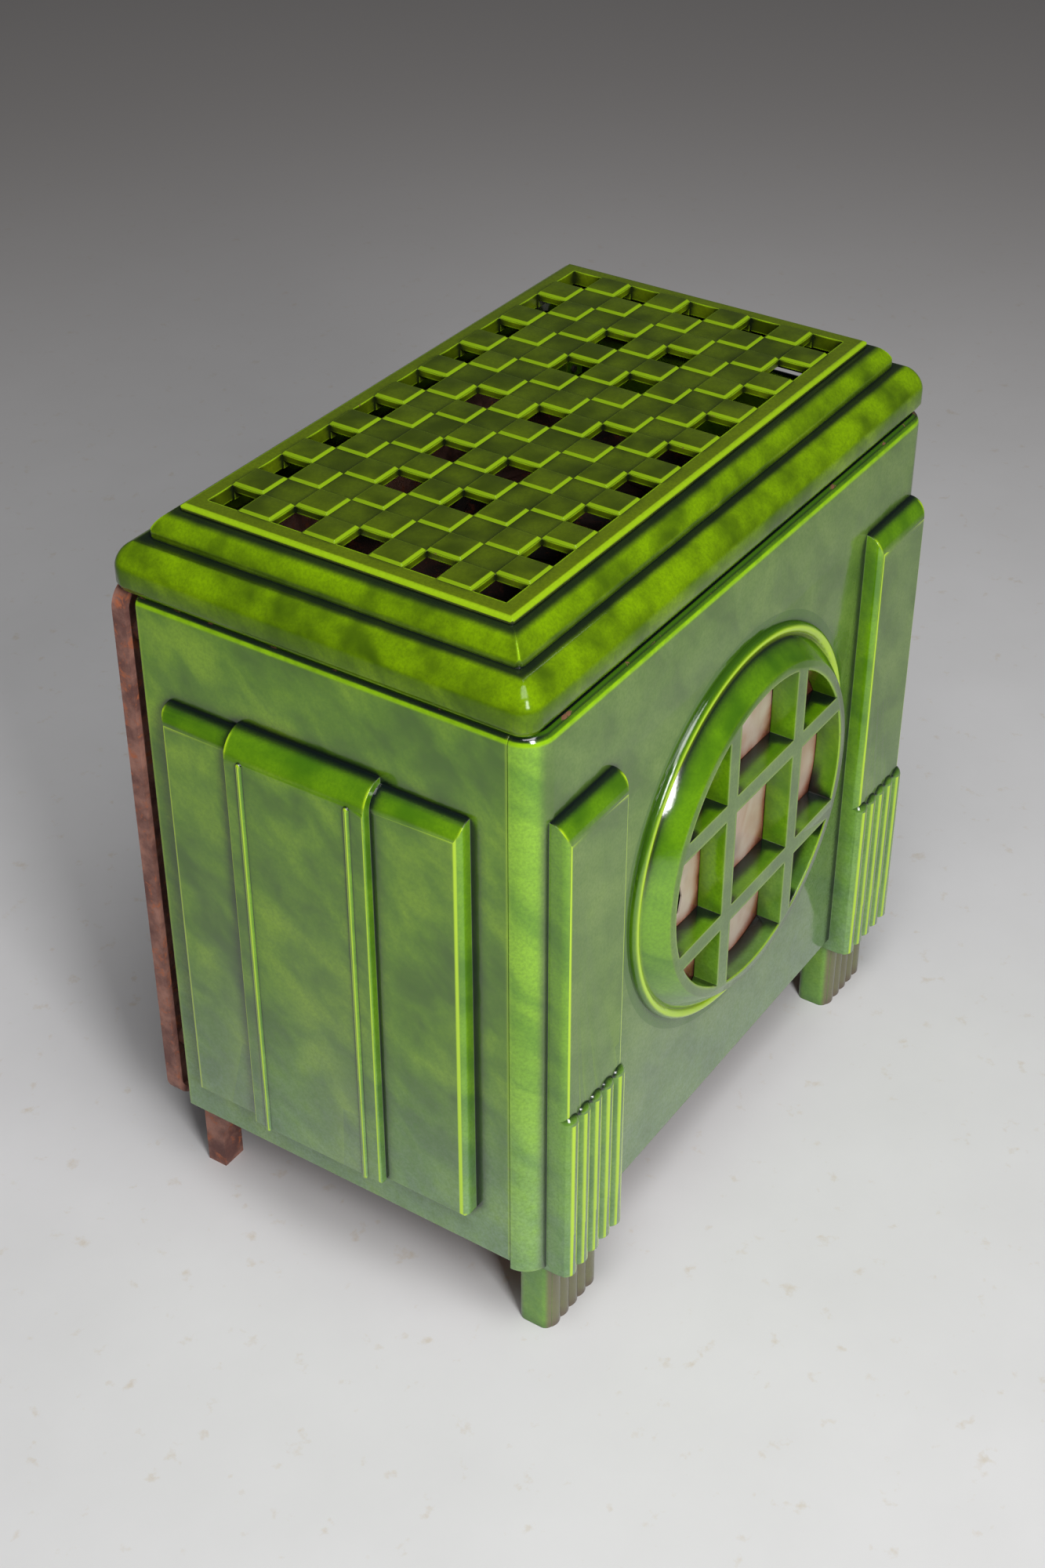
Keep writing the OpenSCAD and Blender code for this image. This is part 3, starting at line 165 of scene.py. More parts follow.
# noises of the glaze: millimetres, detail, roughness, distortion
glazeNoise = {
    "streaks": (29.4, 3, 0.5, 0.3),  # runs of the glaze, drawn out along its run
    "clouds": (111, 4, 0.55, 0.4),  # where one dip lay over the next
    "puddles": (29.4, 2, 0.45, 0),  # soft dark clouds on faces that lean upwards
    "curds": (9.1, 4, 0.65, 0),  # milky spots
    "frit": (2.38, 3, 0.7, 0),  # spots that break up the painted floor reflection and the brow's crest
    "rubs": (14.3, 5, 0.7, 0),  # where the lid rubbed the brow
    "flaws": (7.7, 3, 0.6, 0),  # of these only the peaks, 3 mm wide, are chips
    "waves": (25, 1, 0.5, 0),  # fired glass is never quite flat
    "peel": (5, 2, 0.5, 0),  # orange peel
}
glazeSet = {
    "run": (0.58, -0.55, -0.60),  # it ran down this way while the castings lay tilted to drain
    "drawn": 4.5,  # how much longer than wide its streaks are
    "cloudShare": 0.36,
    "reach": 0.014,  # how far off a neighbouring face makes a hollow, which takes painted shade
    "poolBand": 0.94,
    "foot": (0.082, 0.088),  # no crest along a casting's foot, where the glaze hung
    "melt": 0.0012,  # radius that every edge melted to
    "waveDeep": (0.3, 0.0016), "peelDeep": (0.14, 0.0004),  # share and depth of the bumps
    "burnt": "#6a5746", "chip": "#7b5140",
}
# heights of the casing's brow: its crest lies just under the lid, and above that a painted shadow of the lid
# darkens it
browSet = {"foot": 0.5398, "crest": 0.5418, "over": 0.5430, "fade": 0.5444, "dark": 0.5458, "rub": 0.5461,
           "top": 0.5472, "lid": 0.5477, "lime": "#8fc010"}


def enamel(name, look):
    mat, tree = newMaterial(name)
    place = addNode(tree, "ShaderNodeTexCoord").outputs["Object"]
    normal = addNode(tree, "ShaderNodeNewGeometry").outputs["Normal"]
    where = addNode(tree, "ShaderNodeSeparateXYZ", feeds={"Vector": place})
    facing = addNode(tree, "ShaderNodeSeparateXYZ", feeds={"Vector": normal})
    faced = addNode(tree, "ShaderNodeVectorMath", {"operation": "DOT_PRODUCT"},
                    {0: normal, 1: look["flatAxis"]})
    # what the masks go by: place, lean, noises, and how open a spot is on either side of the skin
    by = {"x": where.outputs["X"], "y": where.outputs["Y"], "z": where.outputs["Z"],
          "up": facing.outputs["Z"], "rearward": facing.outputs["Y"], "faced": faced.outputs["Value"]}
    for key, source in (("flat", "faced"), ("halfWay", "x"), ("rise", "up")):
        by[key] = addNode(tree, "ShaderNodeMath", {"operation": "ABSOLUTE"}, {0: by[source]}).outputs[0]
    tilt = Vector(glazeSet["run"]).to_track_quat("Z", "Y").to_euler()
    along = addNode(tree, "ShaderNodeMapping", {"vector_type": "TEXTURE"},
                    {"Vector": place, "Rotation": tuple(tilt), "Scale": (1, 1, glazeSet["drawn"])})
    for key, (size, detail, rough, bend) in glazeNoise.items():
        source = along.outputs[0] if key == "streaks" else place
        by[key] = addNode(tree, "ShaderNodeTexNoise", {},
                          {"Vector": source, "Scale": perMetre(size), "Detail": detail, "Roughness": rough,
                           "Distortion": bend}).outputs["Fac"]
    by["depth"] = addNode(tree, "ShaderNodeMix", {"data_type": "FLOAT"},
                          {"Factor": glazeSet["cloudShare"], 2: by["streaks"], 3: by["clouds"]}).outputs[0]
    for key, reach, within in (("open", glazeSet["reach"], False), ("inner", look["crestWide"], True)):
        by[key] = addNode(tree, "ShaderNodeAmbientOcclusion", {"samples": 8, "inside": within},
                          {"Distance": reach, "Color": (1, 1, 1, 1)}).outputs["AO"]

    # each mask: what it goes by, from where, to where, and its share at both ends
    masks = {
        "darker": ("depth", 0.32, 0.54, 0, 1),
        "lighter": ("depth", 0.47, 0.68, 0, 1),
        # the narrow sides of the relief hold less glaze than its flats, and faces that lean up are purer
        "sideways": ("flat", 0.97, 0.75, 0, look["sideMost"]),
        "sideTone": ("streaks", 0.3, 0.62, 0, 1),
        "lean": ("up", 0.12, 0.45, 0, 0.85),
        "puddled": ("puddles", *look["cloudy"], 0, 1),
        # painted reflection: low down a grey veil stands for the pale floor mirrored in the glaze, broken
        # into spots
        "low": ("z", look["opalTop"], 0.02, 0, look["opalMost"]),
        "curdled": ("curds", 0.3, 0.7, 0.65, 1.25),
        "grain": ("frit", 0.36, 0.62, look["grain"], 0),
        # a hollow that looks up holds more pooled glaze and more painted shade
        "upward": ("up", 0.2, 0.7, 0, 0.1),
        "steep": ("up", 0.25, 0.06, 0, 1),
        # a crest is where a ray into the casting soon comes out again, and the spot is open outside
        "crest": ("inner", 0.93, 0.66, 0, 0.95),
        "outward": ("open", 0.78, 0.95, 0, 1),
        # on the flats the thick glaze reaches up to the crest, and on upright sides the crest soon ends
        "offFlat": ("flat", 0.995, 0.9, look["crestFlat"], 1),
        "offSide": ("flat", 0.45, 0.72, look["crestSide"], 1),
        "offFoot": ("z", *glazeSet["foot"], 0.15, 1),
        # a tile's small bevel leans between flat and upright, and holds hardly any glaze
        "leanLess": ("up", 0.985, 0.88, 0, look["bevelled"]),
        "leanMore": ("up", 0.2, 0.5, 0, 1),
        # painted shadow of the lid's lip on the top of the brow
        "browDark": ("z", browSet["dark"], browSet["top"], 0, 0.9),
        "browLow": ("z", browSet["foot"], browSet["crest"], 0, 0.9),
        "browHigh": ("z", browSet["fade"], browSet["over"], 0, 1),
        "rubbed": ("rubs", 0.60, 0.63, 0, 0.9),
        "chipped": ("flaws", 0.665, 0.69, 0, 1),
        # the feet's fronts are burnt brown
        "burnt": ("rearward", -0.35, -0.85, 0, look["bare"]),
    }
    straight = ("curdled", "grain", "outward", "rubbed", "chipped")
    # each limit: what it goes by, on which side of what
    limits = {
        "belowLid": ("z", "LESS_THAN", browSet["lid"]),
        "aboveRub": ("z", "GREATER_THAN", browSet["rub"]),
    }
    # masks that hold only where others do too
    joint = {
        "milky": ("low", "curdled"),
        "ranOff": ("sideways", "steep"),
        "crestOut": ("crest", "outward", "offFlat", "offSide", "offFoot"),
        "bevelLime": ("leanLess", "leanMore"),
        "browShade": ("browDark", "belowLid"),
        "browLime": ("browLow", "browHigh", "curdled"),
        "rubBare": ("rubbed", "aboveRub", "belowLid"),
        "chips": ("chipped", "crestOut"),
    }
    line, ring, rim, column = (look[key] for key in ("crestLine", "ring", "rim", "column"))
    if line:  # a crisp line, 2 mm wide, where a flat turns into the relief's upright side
        masks["turnOff"] = ("flat", 0.996, 0.975, 0, 1)
        masks["turnOn"] = ("flat", 0.80, 0.92, 0, 1)
        limits["upright"] = ("rise", "LESS_THAN", 0.12)
        limits["lineFrom"] = ("halfWay", "GREATER_THAN", line["from"])
        limits["lineTo"] = ("halfWay", "LESS_THAN", line["to"])
        limits["lineBefore"] = ("y", "LESS_THAN", line["before"])
        joint["line"] = ("turnOff", "turnOn", "upright", "lineFrom", "lineTo", "lineBefore", "outward")
    if ring:  # the window ring's bead is a crest too, and the slope outside it lies in thick glaze
        height = addNode(tree, "ShaderNodeMath", {"operation": "SUBTRACT"}, {0: by["z"], 1: ring["height"]})
        spoke = addNode(tree, "ShaderNodeCombineXYZ", {}, {"X": by["x"], "Z": height.outputs[0]})
        by["radius"] = addNode(tree, "ShaderNodeVectorMath", {"operation": "LENGTH"},
                               {0: spoke.outputs[0]}).outputs["Value"]
        masks["beadIn"] = ("radius", ring["bead"] - 6 * mm, ring["bead"] - 2 * mm, 0, 1)
        masks["beadOut"] = ("radius", ring["bead"] + 3 * mm, ring["bead"] + 0.5 * mm, 0, 1)
        masks["beyond"] = ("radius", ring["bead"] + 1 * mm, ring["bead"] + 4 * mm, 0, ring["slopeMost"])
        limits["ringBefore"] = ("y", "LESS_THAN", ring["before"])
        limits["ringFoot"] = ("radius", "LESS_THAN", ring["foot"])
        joint["bead"] = ("beadIn", "beadOut", "ringBefore")
        joint["ringSlope"] = ("beyond", "ringFoot")
    if rim:  # the grille's rim is a plain strip, and its rounded outer edge holds hardly any glaze
        shift = addNode(tree, "ShaderNodeMath", {"operation": "SUBTRACT"}, {0: by["y"], 1: rim["midY"]})
        size = addNode(tree, "ShaderNodeMath", {"operation": "ABSOLUTE"}, {0: shift.outputs[0]})
        pastX = addNode(tree, "ShaderNodeMath", {"operation": "SUBTRACT"},
                        {0: by["halfWay"], 1: rim["halfX"]})
        pastY = addNode(tree, "ShaderNodeMath", {"operation": "SUBTRACT"},
                        {0: size.outputs[0], 1: rim["halfY"]})
        by["past"] = addNode(tree, "ShaderNodeMath", {"operation": "MAXIMUM"},
                             {0: pastX.outputs[0], 1: pastY.outputs[0]}).outputs[0]
        limits["onRim"] = ("past", "GREATER_THAN", 0)
        masks["rimEdge"] = ("past", *rim["edge"], 0, 1)
    if column:  # painted highlight: the corner columns get a brighter green, for the strong light from the front-left
        limits["onColumn"] = ("halfWay", "GREATER_THAN", column["from"])
    for key, (source, start, end, low, high) in masks.items():
        kind = "LINEAR" if key in straight else "SMOOTHSTEP"
        by[key] = addNode(tree, "ShaderNodeMapRange", {"interpolation_type": kind},
                          {"Value": by[source], "From Min": start, "From Max": end, "To Min": low,
                           "To Max": high}).outputs[0]
    for key, (source, side, limit) in limits.items():
        by[key] = addNode(tree, "ShaderNodeMath", {"operation": side}, {0: by[source], 1: limit}).outputs[0]
    for key, (first, *others) in joint.items():
        by[key] = by[first]
        for other in others:
            by[key] = addNode(tree, "ShaderNodeMath", {"operation": "MULTIPLY", "use_clamp": True},
                              {0: by[key], 1: by[other]}).outputs[0]

    # painted shade and pooled glaze darken the hollows, but the glaze ran off the upright sides of the
    # relief
    hollow = addNode(tree, "ShaderNodeMath", {"operation": "SUBTRACT"}, {0: by["open"], 1: by["upward"]})
    pooledShade = addNode(tree, "ShaderNodeMapRange", {"interpolation_type": "SMOOTHSTEP"},
                     {"Value": hollow.outputs[0], "From Min": look["hollow"][0],
                      "From Max": look["hollow"][1], "To Min": look["poolMost"], "To Max": 0})
    stays = addNode(tree, "ShaderNodeMapRange", {}, {"Value": by["ranOff"], "To Min": 1, "To Max": 0.2})
    by["pool"] = addNode(tree, "ShaderNodeMath", {"operation": "MULTIPLY"},
                         {0: pooledShade.outputs[0], 1: stays.outputs[0]}).outputs[0]
    # painted shade also lies on the flat inner part of each roll, under the roll above, a known height above
    # the floor
    for start, full, end in look["bands"]:
        rise = addNode(tree, "ShaderNodeMapRange", {"interpolation_type": "SMOOTHSTEP"},
                       {"Value": by["z"], "From Min": start, "From Max": full,
                        "To Max": glazeSet["poolBand"]})
        under = addNode(tree, "ShaderNodeMath", {"operation": "LESS_THAN"}, {0: by["z"], 1: end})
        band = addNode(tree, "ShaderNodeMath", {"operation": "MULTIPLY"},
                       {0: rise.outputs[0], 1: under.outputs[0]})
        by["pool"] = addNode(tree, "ShaderNodeMath", {"operation": "MAXIMUM"},
                             {0: by["pool"], 1: band.outputs[0]}).outputs[0]
    by["limed"] = by["crestOut"]
    for key in ("bevelLime", "line"):
        if key in by:
            by["limed"] = addNode(tree, "ShaderNodeMath", {"operation": "MAXIMUM"},
                                  {0: by["limed"], 1: by[key]}).outputs[0]

    # coats of colour, the lowest first, each with the mask that it lies in
    coats = {
        "flats": (look["deep"], ("darker", look["body"]), ("lighter", look["light"])),
        "columns": (column["deep"], ("sideTone", column["light"])) if column else (look["side"],),
        "sides": (look["sideDeep"], ("sideTone", look["side"]), ("onColumn", "columns")),
        "slopes": (look["shade"], ("puddled", look["slope"]), ("onRim", rim and rim["tone"]),
                   ("rimEdge", look["thin"])),
        "glaze": ("flats", ("sideways", "sides"), ("lean", "slopes"), ("milky", look["opal"]),
                  ("grain", look["shade"]), ("pool", look["pool"]), ("limed", look["thin"]),
                  ("browLime", browSet["lime"]), ("browShade", look["shade"]),
                  ("rubBare", glazeSet["chip"]), ("bead", look["thin"]), ("ringSlope", look["shade"]),
                  ("chips", glazeSet["chip"]), ("burnt", glazeSet["burnt"])),
    }
    tones = {}
    for key, (ground, *over) in coats.items():
        color = tones[ground] if ground in tones else hexLinear(ground)
        for mask, tone in over:
            if mask in by:
                color = addNode(tree, "ShaderNodeMix", {"data_type": "RGBA"},
                                {"Factor": by[mask], 6: color,
                                 7: tones[tone] if tone in tones else hexLinear(tone)}).outputs[2]
        tones[key] = color

    melted = addNode(tree, "ShaderNodeBevel", {"samples": 4}, {"Radius": glazeSet["melt"]})
    skin = melted.outputs[0]
    for key, (share, deep) in (("waves", glazeSet["waveDeep"]), ("peel", glazeSet["peelDeep"])):
        skin = addNode(tree, "ShaderNodeBump", {}, {"Strength": share, "Distance": deep, "Height": by[key],
                                                    "Normal": skin}).outputs[0]
    shader = addNode(tree, "ShaderNodeBsdfPrincipled", {},
                     {"Base Color": tones["glaze"], "Roughness": look["rough"], "IOR": look["ior"],
                      "Normal": skin})
    finishMaterial(tree, shader)
    return mat


# bare and burnt iron: sand-cast skin with rust
ironLook = {
    "back": {"dark": "#63403a", "light": "#a07263", "rust": "#a8603f", "rough": 0.72, "metal": 0.0},
    "sooty": {"dark": "#1c1411", "light": "#46291f", "rust": "#6b3420", "rough": 0.8, "metal": 0.0},
    "steel": {"dark": "#3a3330", "light": "#6e655f", "rust": "#6e4630", "rough": 0.5, "metal": 0.6},
    "knob": {"dark": "#0d0d0d", "light": "#262422", "rust": "#3a2a22", "rough": 0.35, "metal": 0.0},
}
ironSet = {"patch": 35.7, "sand": 1.67, "rust": 11.1, "roughSwing": 0.12, "sandDeep": 0.0005}


def castIron(name, look):
    mat, tree = newMaterial(name)
    place = addNode(tree, "ShaderNodeTexCoord").outputs["Object"]
    patches = addNode(tree, "ShaderNodeTexNoise", {},
                      {"Vector": place, "Scale": perMetre(ironSet["patch"]), "Detail": 6, "Roughness": 0.65})
    sand = addNode(tree, "ShaderNodeTexNoise", {},
                   {"Vector": place, "Scale": perMetre(ironSet["sand"]), "Detail": 3, "Roughness": 0.7})
    tone = addNode(tree, "ShaderNodeMapRange", {"interpolation_type": "SMOOTHSTEP"},
                   {"Value": patches.outputs["Fac"], "From Min": 0.35, "From Max": 0.65})
    base = addNode(tree, "ShaderNodeMix", {"data_type": "RGBA"},
                   {"Factor": tone.outputs[0], 6: hexLinear(look["dark"]), 7: hexLinear(look["light"])})
    rustSpots = addNode(tree, "ShaderNodeTexNoise", {},
                        {"Vector": place, "Scale": perMetre(ironSet["rust"]), "Detail": 5, "Roughness": 0.7,
                         "Distortion": 0.5})
    rustMask = addNode(tree, "ShaderNodeMapRange", {},
                       {"Value": rustSpots.outputs["Fac"], "From Min": 0.54, "From Max": 0.66})
    color = addNode(tree, "ShaderNodeMix", {"data_type": "RGBA"},
                    {"Factor": rustMask.outputs[0], 6: base.outputs[2], 7: hexLinear(look["rust"])})
    rough = addNode(tree, "ShaderNodeMapRange", {},
                    {"Value": sand.outputs["Fac"], "To Min": look["rough"] - ironSet["roughSwing"],
                     "To Max": look["rough"] + ironSet["roughSwing"]})
    bump = addNode(tree, "ShaderNodeBump", {}, {"Strength": 0.5, "Distance": ironSet["sandDeep"],
                                                "Height": sand.outputs["Fac"]})
    shader = addNode(tree, "ShaderNodeBsdfPrincipled", {},
                     {"Base Color": color.outputs[2], "Roughness": rough.outputs[0],
                      "Metallic": look["metal"], "Normal": bump.outputs[0]})
    finishMaterial(tree, shader)
    return mat


# mica: cleaved sheets, milky and pink-beige, rusty where they touch the iron
micaLook = {"light": "#cfbfb0", "pink": "#bc9884", "grey": "#8f8580", "rust": "#a04c24", "char": "#3c1f16",
            "rough": 0.22, "ior": 1.58, "flake": 38.5, "drawn": 0.6, "flakeDeep": 0.001, "smoke": 62.5,
            "creep": 0.02}


def micaSheet(name, look):
    mat, tree = newMaterial(name)
    place = addNode(tree, "ShaderNodeTexCoord").outputs["Object"]
    # cleavage flakes, drawn upwards
    drawn = addNode(tree, "ShaderNodeMapping", {}, {"Vector": place, "Scale": (1, 1, look["drawn"])})
    flakes = addNode(tree, "ShaderNodeTexNoise", {},
                     {"Vector": drawn.outputs[0], "Scale": perMetre(look["flake"]), "Detail": 4,
                      "Roughness": 0.5, "Distortion": 0.6})
    smoke = addNode(tree, "ShaderNodeTexNoise", {},
                    {"Vector": place, "Scale": perMetre(look["smoke"]), "Detail": 3})
    # rust from the bars creeps 10 mm in, charred against the iron
    near = addNode(tree, "ShaderNodeAmbientOcclusion", {"samples": 8}, {"Distance": look["creep"]})
    ragged = addNode(tree, "ShaderNodeMath", {"operation": "MULTIPLY_ADD"},
                     {0: flakes.outputs["Fac"], 1: 0.7, 2: near.outputs["AO"]})
    # each coat: its colour, what it goes by, from where, to where, and its share at both ends
    coats = (
        (look["light"], flakes.outputs["Fac"], "LINEAR", 0.3, 0.62, 0, 1),
        (look["grey"], smoke.outputs["Fac"], "LINEAR", 0.52, 0.7, 0, 0.7),
        (look["rust"], ragged.outputs[0], "SMOOTHSTEP", 0.86, 1.06, 0.85, 0),
        (look["char"], ragged.outputs[0], "SMOOTHSTEP", 0.72, 0.88, 0.85, 0),
    )
    color = hexLinear(look["pink"])
    for tone, source, kind, start, end, low, high in coats:
        mask = addNode(tree, "ShaderNodeMapRange", {"interpolation_type": kind},
                       {"Value": source, "From Min": start, "From Max": end, "To Min": low, "To Max": high})
        color = addNode(tree, "ShaderNodeMix", {"data_type": "RGBA"},
                        {"Factor": mask.outputs[0], 6: color, 7: hexLinear(tone)}).outputs[2]
    bump = addNode(tree, "ShaderNodeBump", {}, {"Strength": 0.4, "Distance": look["flakeDeep"],
                                                "Height": flakes.outputs["Fac"]})
    shader = addNode(tree, "ShaderNodeBsdfPrincipled", {},
                     {"Base Color": color, "Roughness": look["rough"], "IOR": look["ior"],
                      "Normal": bump.outputs[0]})
    finishMaterial(tree, shader)
    return mat


# fired clay and woven glass rope
dustyLook = {
    "firebrick": {"light": "#a98b63", "dark": "#7d5f41", "grain": 8.33, "rough": 0.9},
    "rope": {"light": "#c9c4ba", "dark": "#8d877c", "grain": 2, "rough": 0.95},
}


def dustyStuff(name, look):
    mat, tree = newMaterial(name)
    place = addNode(tree, "ShaderNodeTexCoord").outputs["Object"]
    grain = addNode(tree, "ShaderNodeTexNoise", {},
                    {"Vector": place, "Scale": perMetre(look["grain"]), "Detail": 5, "Roughness": 0.7})
    tone = addNode(tree, "ShaderNodeMapRange", {}, {"Value": grain.outputs["Fac"], "From Min": 0.35,
                                                    "From Max": 0.65})
    color = addNode(tree, "ShaderNodeMix", {"data_type": "RGBA"},
                    {"Factor": tone.outputs[0], 6: hexLinear(look["dark"]), 7: hexLinear(look["light"])})
    bump = addNode(tree, "ShaderNodeBump", {}, {"Strength": 0.6, "Distance": 1 * mm,
                                                "Height": grain.outputs["Fac"]})
    shader = addNode(tree, "ShaderNodeBsdfPrincipled", {},
                     {"Base Color": color.outputs[2], "Roughness": look["rough"],
                      "Normal": bump.outputs[0]})
    finishMaterial(tree, shader)
    return mat


enamelFront = enamel("enamelFront", enamelLook["front"])
enamelSides = enamel("enamelSides", enamelLook["sides"])
enamelGrating = enamel("enamelGrating", enamelLook["grating"])
enamelFeet = enamel("enamelFeet", enamelLook["feet"])
enamelLid = enamel("enamelLid", enamelLook["lid"])
ironBack = castIron("ironBack", ironLook["back"])
ironSooty = castIron("ironSooty", ironLook["sooty"])
steelWorn = castIron("steelWorn", ironLook["steel"])
ironKnob = castIron("ironKnob", ironLook["knob"])
micaMilky = micaSheet("micaMilky", micaLook)
brickFired = dustyStuff("brickFired", dustyLook["firebrick"])
ropeGlass = dustyStuff("ropeGlass", dustyLook["rope"])
bySlot = {"enamel": enamelSides, "back_iron": ironBack, "sooty_iron": ironSooty, "worn_steel": steelWorn,
          "mica": micaMilky, "firebrick": brickFired, "rope": ropeGlass, "black_knob": ironKnob}

slotOf = {s["node"]: s["material_slot"] for s in frame["record"]["subparts"]}
bodyOf = {n: b for b, ns in frame["record"]["behaviour"]["bodies"].items() for n in ns}
for node, obj in frame["nodes"].items():
    obj.data.materials.clear()
    obj.data.materials.append(bySlot[slotOf[node]])
print("stage: materials on all CAD nodes")

mendSet = {"weld": 1e-6, "flatWithin": 0.5}  # metres, degrees


def castingCopy(node):
    # the CAD shape of a node, its loose triangles welded and its flat faces whole again
    source = frame["nodes"][node]
    bm = bmesh.new()
    bm.from_mesh(source.data)
    bm.transform(source.matrix_world)
    bmesh.ops.remove_doubles(bm, verts=bm.verts, dist=mendSet["weld"])
    bmesh.ops.dissolve_limit(bm, angle_limit=math.radians(mendSet["flatWithin"]), verts=bm.verts,
                             edges=bm.edges)
    return bm


def dressedPiece(node, ending, bm, mat, sharpFrom):
    # the copy takes the node's place, on its body and in its slot
    mesh = bpy.data.meshes.new(node + ending)
    bm.to_mesh(mesh)
    bm.free()
    mesh.materials.append(mat)
    for face in mesh.polygons:
        face.use_smooth = True
    mesh.set_sharp_from_angle(angle=math.radians(sharpFrom))
    piece = bpy.data.objects.new(node + ending, mesh)
    bpy.context.collection.objects.link(piece)
    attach(piece, bodyOf[node])
    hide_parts(node)
    return piece


# enamelled castings: the CAD shape with every edge rounded as the glaze rounds it, in millimetres
skinSet = {
    "top_grille": {"round": 0.9, "steps": 2, "mat": enamelGrating, "ring": None},
    "cornice": {"round": 1.0, "steps": 2, "mat": enamelLid, "ring": None},
    "front_panel": {"round": 1.4, "steps": 3, "mat": enamelFront, "ring": {"height": 0.320, "wide": 0.166}},
    "left_side_panel": {"round": 1.6, "steps": 3, "mat": enamelSides, "ring": None},
    "right_side_panel": {"round": 1.6, "steps": 3, "mat": enamelSides, "ring": None},
    "front_feet": {"round": 1.2, "steps": 2, "mat": enamelFeet, "ring": None},
}
edgeFrom = 32  # degrees between two faces that make an edge


def enamelSkin(node, look):
    bm = castingCopy(node)
    # sharp edges get a weight, but not the fine ones of the window ring, which are round already
    weight = bm.edges.layers.float.new("bevel_weight_edge")
    ring = look["ring"]
    for edge in bm.edges:
        middle = (edge.verts[0].co + edge.verts[1].co) / 2
        onRing = ring and math.hypot(middle.x, middle.z - ring["height"]) < ring["wide"]
        if edge.calc_face_angle(0) > math.radians(edgeFrom) and not onRing:
            edge[weight] = 1.0
    piece = dressedPiece(node, "Skin", bm, look["mat"], edgeFrom)
    bevel = piece.modifiers.new("glazeRound", "BEVEL")
    bevel.width = look["round"] * mm
    bevel.segments = look["steps"]
    bevel.limit_method = "WEIGHT"
    bevel.harden_normals = True
    return piece


for node, look in skinSet.items():
    piece = enamelSkin(node, look)
    print("stage: skin", node, len(piece.data.polygons))

# the mica cockles between its bars: waves 28 mm long and under 1 mm deep
micaSet = {"cut": 0.008, "wave": 0.028, "deep": 0.0007, "edgeFrom": 40}


def cockledMica(node, look):
    bm = castingCopy(node)
    low = Vector([min(v.co[i] for v in bm.verts) for i in range(3)])
    high = Vector([max(v.co[i] for v in bm.verts) for i in range(3)])
    for axis in (0, 2):
        across = Vector((axis == 0, 0, axis == 2))
        for step in range(1, int((high[axis] - low[axis]) / look["cut"])):
            spot = across * (low[axis] + step * look["cut"])
            bmesh.ops.bisect_plane(bm, geom=bm.verts[:] + bm.edges[:] + bm.faces[:], plane_co=spot,
                                   plane_no=across, dist=mendSet["weld"])
    for vert in bm.verts:
        vert.co.y += look["deep"] * (0.5 + noise.noise(vert.co / look["wave"]))
    bmesh.ops.triangulate(bm, faces=bm.faces)
    return dressedPiece(node, "Cockled", bm, micaMilky, look["edgeFrom"])


print("stage: mica", len(cockledMica("mica_sheets", micaSet).data.polygons))

# the floor is pale paper with faint beige specks, and painted shade makes it greyer away from the lit middle
floorSet = {"color": "#dddcdd", "shade": "#d0cfcf", "speck": "#c3b49c", "far": "#b5b0ae", "blotch": 167,
            "speckSize": 22.2, "greyFrom": 0.45, "greyTo": 2.6, "half": 14.0, "rough": 0.75}
floorMat, tree = newMaterial("paleFloor")
place = addNode(tree, "ShaderNodeTexCoord").outputs["Object"]
blotch = addNode(tree, "ShaderNodeTexNoise", {},
                 {"Vector": place, "Scale": perMetre(floorSet["blotch"]), "Detail": 6, "Roughness": 0.6})
specks = addNode(tree, "ShaderNodeTexNoise", {},
                 {"Vector": place, "Scale": perMetre(floorSet["speckSize"]), "Detail": 4, "Roughness": 0.6})
speckMask = addNode(tree, "ShaderNodeMapRange", {}, {"Value": specks.outputs["Fac"], "From Min": 0.62,
                                                     "From Max": 0.74, "To Max": 0.5})
away = addNode(tree, "ShaderNodeVectorMath", {"operation": "LENGTH"}, {0: place})
floorFalloffShade = addNode(tree, "ShaderNodeMapRange", {"interpolation_type": "SMOOTHSTEP"},
                  {"Value": away.outputs["Value"], "From Min": floorSet["greyFrom"],
                   "From Max": floorSet["greyTo"]})
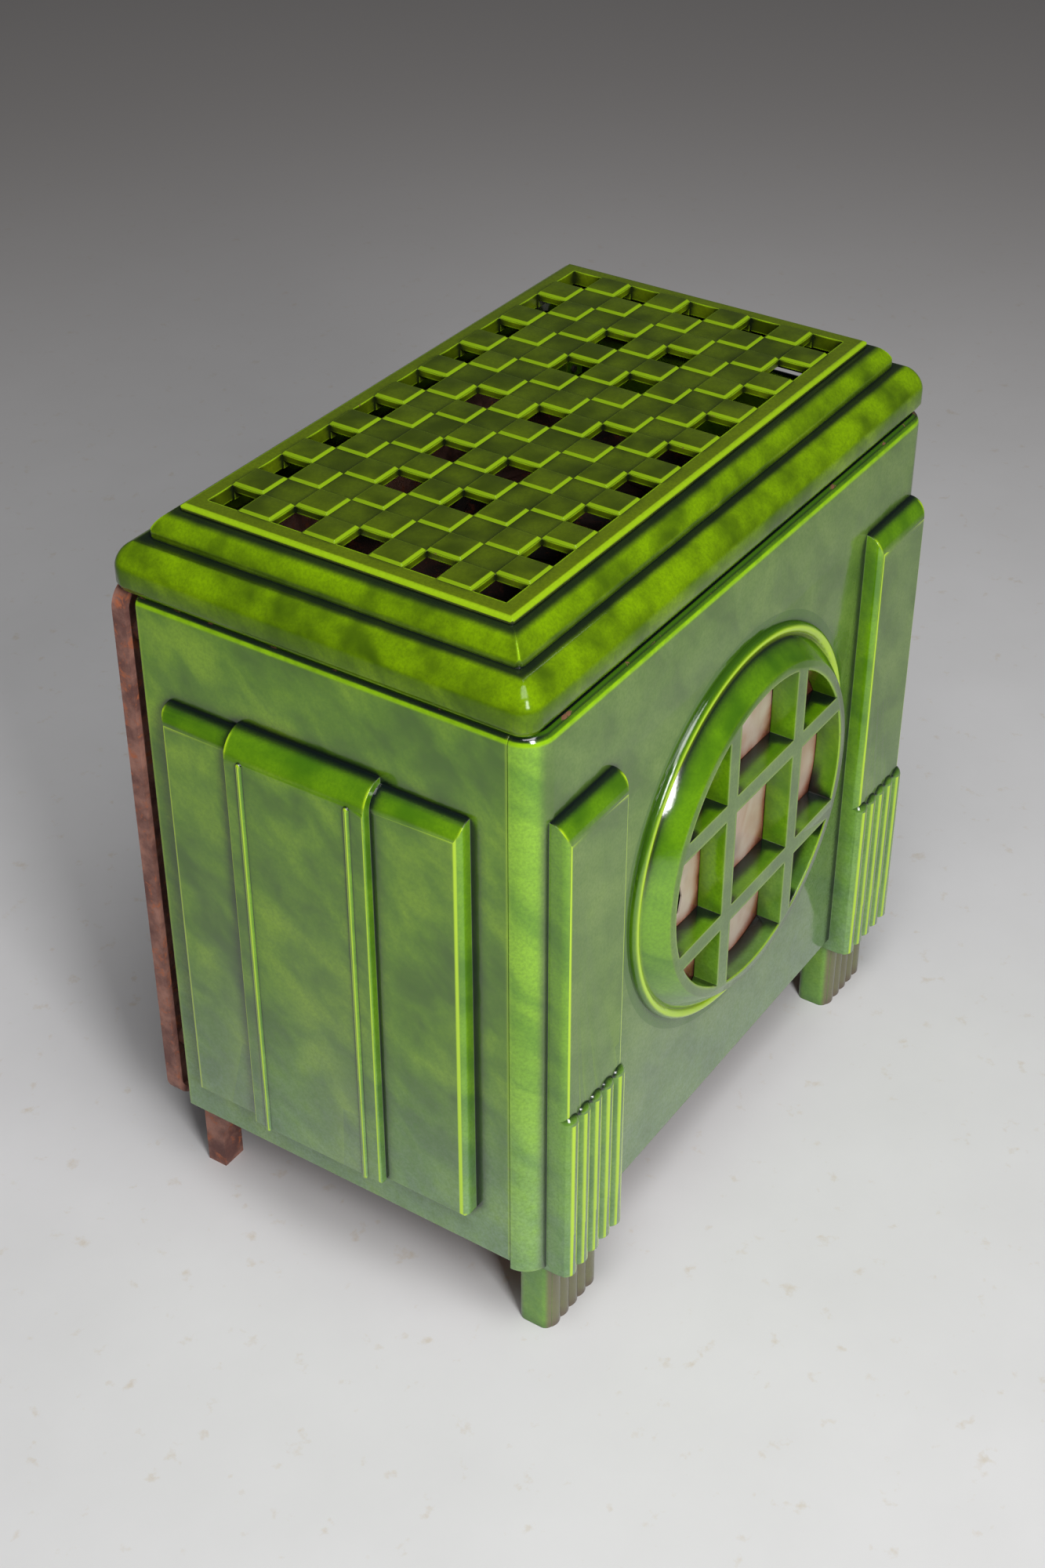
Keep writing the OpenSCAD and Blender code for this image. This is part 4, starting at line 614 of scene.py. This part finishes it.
floorColor = hexLinear(floorSet["shade"])
for mask, tone in ((blotch.outputs["Fac"], "color"), (speckMask.outputs[0], "speck"),
                   (floorFalloffShade.outputs[0], "far")):
    floorColor = addNode(tree, "ShaderNodeMix", {"data_type": "RGBA"},
                         {"Factor": mask, 6: floorColor, 7: hexLinear(floorSet[tone])}).outputs[2]
finishMaterial(tree, addNode(tree, "ShaderNodeBsdfPrincipled", {},
                             {"Base Color": floorColor, "Roughness": floorSet["rough"]}))
bm = bmesh.new()
bmesh.ops.create_grid(bm, x_segments=1, y_segments=1, size=floorSet["half"])
floorMesh = bpy.data.meshes.new("paleFloor")
bm.to_mesh(floorMesh)
bm.free()
floor = bpy.data.objects.new("paleFloor", floorMesh)
floorMesh.materials.append(floorMat)
bpy.context.collection.objects.link(floor)

# each lamp: place, what it looks at, width and height in metres, watts
lampSet = {
    "tallWindow": {"place": (-1.8, -2.6, 2.05), "aim": (0, 0, 0.35), "wide": 0.8, "tall": 1.5, "power": 84},
    "overhead": {"place": (-0.9, -0.9, 2.8), "aim": (0, 0, 0.3), "wide": 1.6, "tall": 1.6, "power": 56},
}
for name, lamp in lampSet.items():
    data = bpy.data.lights.new(name, "AREA")
    data.shape = "RECTANGLE"
    data.size = lamp["wide"]
    data.size_y = lamp["tall"]
    data.energy = lamp["power"]
    obj = bpy.data.objects.new(name, data)
    obj.location = lamp["place"]
    aim = Vector(lamp["aim"]) - Vector(lamp["place"])
    obj.rotation_euler = aim.to_track_quat("-Z", "Y").to_euler()
    bpy.context.collection.objects.link(obj)

skySet = {"color": (0.9, 0.95, 1.0, 1), "strength": 0.06}  # faint daylight from all round
world = bpy.data.worlds.new("studio")
bpy.context.scene.world = world
world.use_nodes = True
world.node_tree.nodes.clear()
sky = addNode(world.node_tree, "ShaderNodeBackground", {},
              {"Color": skySet["color"], "Strength": skySet["strength"]})
addNode(world.node_tree, "ShaderNodeOutputWorld", feeds={"Surface": sky.outputs[0]})

bpy.context.view_layer.update()
print("stage: done")
